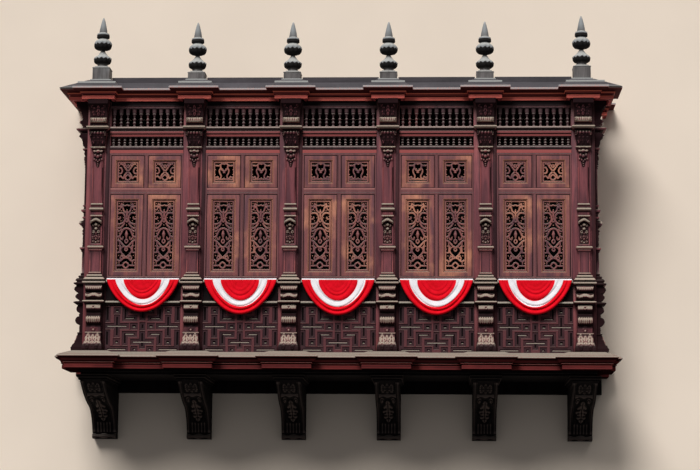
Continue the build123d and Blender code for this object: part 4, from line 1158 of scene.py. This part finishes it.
def corbel():
    """The front's line is two arcs, moved out along its normal by the carving's height over x and z."""
    line = np.vstack([arc((0.19, corbel_foot), (0.645, -0.745), 0.09, 46)[:-1],
                      arc((0.645, -0.745), (1.5, cap_bottom), -0.045, 60)])
    run = np.gradient(line, axis=0)
    normal = np.column_stack([run[:, 1], -run[:, 0]]) / np.hypot(*run.T)[:, None]
    x = np.linspace(-corbel_half, corbel_half, 41)[:, None]
    z = line[:, 1][None, :]
    borders = 0.016 * window(np.abs(x), 0.158, 0.26, 0.010) + 0.012 * window(np.abs(x), 0.138, 0.150, 0.008)
    reeds = 0.010 * window(z, -1.18, -1.0, 0.02) * (np.abs(x) < 0.128) * np.abs(np.cos(pi * x / 0.052))
    ends = np.clip((z - corbel_foot) / 0.03, 0, 1) * np.clip((cap_bottom - z) / 0.02, 0, 1)
    height = (borders + reeds + carvings(x, z, corbel_leaves, corbel_volutes)) * ends
    front = line + height[..., None] * normal
    # Raised carving is rubbed lighter, and sunk carving is darker as painted shade.
    stands = np.clip((height - spread(height, 4, 4)) / 0.008, -1, 1)
    back = np.broadcast_to(corbel_back, (len(x), *corbel_back.shape))
    outline = np.concatenate([front, back], axis=1)
    wear_and_shading = np.concatenate([stands, np.zeros(back.shape[:2])], axis=1)
    across = np.repeat(x, outline.shape[1], axis=1)
    body = np.stack([across, -outline[..., 0], outline[..., 1], wear_and_shading], axis=-1)
    rolls = [cross_roll(0.031, 0.010, 0.2, 17, 0.6, -0.19, -1.235),
             cross_roll(0.034, 0.011, 0.14, 13, 0.9, -1.125, -0.588)]
    caps = [shifted(block((-half, -1.3 - half, low), (half, -0.12, high), bevel), wear_and_shading=wear_and_shading)
            for half, low, high, bevel, wear_and_shading in cap_blocks]
    return joined([grid(body, around=True, ends=True), *rolls, *caps])


bracket = corbel()
for n, x in enumerate(axes_x, 1):
    piece(f"carved_corbel_{n}", shifted(bracket, x=x), "dark_wood", DARK_WOOD_PAINTED_SHADE, f"corbel_{n}", sharp=45)


# Window frames: an outer frame, a mullion and a transom, each with a bead or a chamfer
def window_frame(width):
    """A ring of jambs, sill and head, and two bars that cross it, in the frame's own place."""
    inner, edge = 1000 * frame_bar, 500 * mullion
    # Below nought these sections are painted shade at the edges by the shutters and in the grooves.
    ring = section([(0, -60), (inner, -60), (inner, -4, -1), (inner - 4, 0, 0.5), (3, 0), (0, -3)])
    half = section([(edge, -60), (edge, -5, -1), (edge - 5, 0, 0.4), (edge - 18, 0), (edge - 20, -3, -0.8),
                    (edge - 22, 0, 0.4)])
    bead = np.vstack([half, half[::-1] * (-1, 1, 1)])
    uprights = [carried(bead, [(0, 0, foot), (0, 0, head)]) for foot, head in
                ((sill_top + frame_bar, transom_bottom), (transom_top, head_bottom - frame_bar))]
    transom = [*section([(-60, 0), (-5, 0, -1), (0, 5, 0.4), (0, 30), (-3, 33, -0.8), (0, 36, 0.3)],
                        transom_bottom),
               *section([(0, -30, 0.3), (1, -24, 1.2), (1, -14, 1.4), (-4, 0), (-60, 0)], transom_top)]
    outer = framed(ring, width, sill_top, head_bottom)
    return joined([outer, *uprights, length_of(transom, width - 2 * frame_bar)])


frames = [placed(window_frame(half * 2), place) for name, place, half in bays]
for name, shape, node in (("frames_front", joined(frames[:5]), "window_frames_front"),
                          ("frame_left", frames[5], "window_frame_left"),
                          ("frame_right", frames[6], "window_frame_right")):
    piece(name, shape, "shutter_wood", FRAME, node)


# Bunting: a half round of cloth that hangs from the sill, with folds that run round it
swag_half, cloth_y, cloth_thickness = 0.595, front_y - 0.083, 0.002
swag_drops = (0.555, 0.59, 0.60, 0.595, 0.585)
fold_lines = (0.0, 0.22, 0.34, 0.45, 0.61, 0.77, 0.88, 1.0)


def bunting(x0, seed, swag_drop):
    """Rows run out from the middle of the hem and columns round it. A point lies at (s cos a, drop) with the
    drop as the mean of an ellipse's and a parabola's; the folds are ridges between narrow creases,
    1 - |2 f^1.7 - 1|^3 over each fold f, that fade to the hem and grow to the bottom."""
    rng = np.random.default_rng(seed)
    rows, columns = 62, 53
    s = np.linspace(0.03, 1, rows)[:, None]
    a = np.linspace(pi, 0, columns)[None, :]
    x = s * swag_half * np.cos(a)
    drop = s * swag_drop * (np.sin(a) + np.sin(a) ** 2) / 2
    fall = np.sin(a) ** 0.5
    slip = 0.02 * rng.standard_normal() * np.cos(a) + 0.016 * np.sin(2 * a + rng.uniform(0, 6))
    lines = np.array(fold_lines) + np.pad(rng.uniform(-0.018, 0.018, 6), 1)
    number = np.interp(s + slip * s * (1 - s) * 4, lines, np.arange(8))
    ridge = 1 - np.abs(2 * np.mod(number, 1.0) ** 1.7 - 1) ** 3
    high = np.interp(number, (0, 2, 3.4, 4.5, 5.5, 7), (0.03, 0.22, 0.75, 0.45, 1.1, 1.0))
    out = 0.004 + 0.038 * ridge * high * fall * (0.3 + 0.7 * s) + 0.018 * np.sin(a) * s ** 2
    out += 0.003 * np.sin(11 * a + 5 * s) * s * fall
    points = np.stack([x0 + x, cloth_y - out, swag_top - drop + 0 * x], axis=-1)
    inner, outer = 0.516 + 0.104 * np.sin(a), 0.747 + 0.043 * np.sin(a)
    band = (s + 0.012 * np.sin(3 * a + seed) - inner) / (outer - inner)
    flat, faces = grid(points)
    hub = np.array([[x0, cloth_y - 0.006, swag_top, 0.0]])
    first = np.arange(columns)
    fan = np.stack([np.full(columns - 1, len(flat)), first[1:], first[:-1]], axis=-1)
    return (np.vstack([flat, hub]), [*faces, fan]), np.append(band.ravel(), -1.0)


for n, x in enumerate(bays_x, 1):
    shape, band = bunting(x, n, swag_drops[n - 1])
    swag = piece(f"bunting_{n}", shape, "bunting_cloth", CLOTH, "bunting", sharp=80)
    swag.data.attributes.new("band", "FLOAT", "POINT").data.foreach_set("value", band)
    wall = swag.modifiers.new("cloth", "SOLIDIFY")
    wall.thickness, wall.offset = cloth_thickness, 0


# Stage: a pale floor far below, a plain pale wall behind and a near-black sheet behind the shutters, painted
# shade for the dark inside of the building
def one_sided(tree):
    """Seen from the front only, so that the balcony also shows from behind the wall."""
    behind, clear = tree.add("NewGeometry", {}, "Backfacing"), tree.add("BsdfTransparent", {})
    blend = tree.add("MixShader", {0: behind, 1: tree.shader.outputs[0], 2: clear})
    tree.links.new(blend, tree.nodes["Material Output"].inputs["Surface"])
    return tree.material


def stage_plane(name, corners, material):
    """A flat sheet of the stage, its corners given anticlockwise as seen from its front."""
    mesh = bpy.data.meshes.new(name)
    mesh.from_pydata(corners, [], [(0, 1, 2, 3)])
    mesh.materials.append(material)
    sheet = bpy.data.objects.new(name, mesh)
    bpy.context.scene.collection.objects.link(sheet)
    return sheet


def upright_plane(name, x0, x1, z0, z1, y, material):
    """A stage sheet that stands at Y = y and faces -Y."""
    stage_plane(name, [(x0, y, z0), (x1, y, z0), (x1, y, z1), (x0, y, z1)], material)


ground, reach = -4.6, 150.0
floor_corners = [(x * reach, y * reach, ground) for x, y in ((-1, -1), (1, -1), (1, 1), (-1, 1))]
floor = stage_plane("floor", floor_corners, plain("floor_plaster", (0.72, 0.7, 0.67)).material)
floor.visible_diffuse = floor.visible_glossy = False
plaster, dark = plain("wall_plaster", (0.90, 0.765, 0.63)), plain("room_painted_shade", (0.004, 0.004, 0.004))
upright_plane("wall", -9.0, 9.0, ground, 8.6, 0.004, one_sided(plaster))
# A near-black sheet behind the shutters: painted shade.
upright_plane("painted_shade_sheet", -3.8, 3.8, 0.07, 4.24, -0.001, one_sided(dark))


def set_light():
    """A broad soft light from above the front, and pale air all round."""
    lit = bpy.data.collections.new("lit")
    for thing in bpy.context.scene.objects:
        if thing.type == "MESH":
            lit.objects.link(thing)
    for name, strength, spread_angle, tilt, turn in (("key", 2.8, 26, 44, -20), ("top", 1.5, 70, 18, 0)):
        data = bpy.data.lights.new(name, "SUN")
        data.energy, data.angle = strength, radians(spread_angle)
        lamp = bpy.data.objects.new(name, data)
        lamp.rotation_euler = (radians(tilt), 0, radians(turn))
        lamp.light_linking.receiver_collection = lit
        bpy.context.scene.collection.objects.link(lamp)
    world = bpy.data.worlds.new("air")
    world.use_nodes = True
    tree = world.node_tree
    back = tree.nodes["Background"]
    path = tree.nodes.new("ShaderNodeLightPath")
    strength = tree.nodes.new("ShaderNodeMapRange")
    tree.links.new(path.outputs["Is Camera Ray"], strength.inputs["Value"])
    strength.inputs["To Min"].default_value = 0.14
    strength.inputs["To Max"].default_value = 0.95
    tree.links.new(strength.outputs["Result"], back.inputs["Strength"])
    back.inputs["Color"].default_value = (0.95, 0.96, 1.0, 1.0)
    bpy.context.scene.world = world
    bpy.context.scene.view_settings.view_transform = "Standard"


set_camera()
set_light()
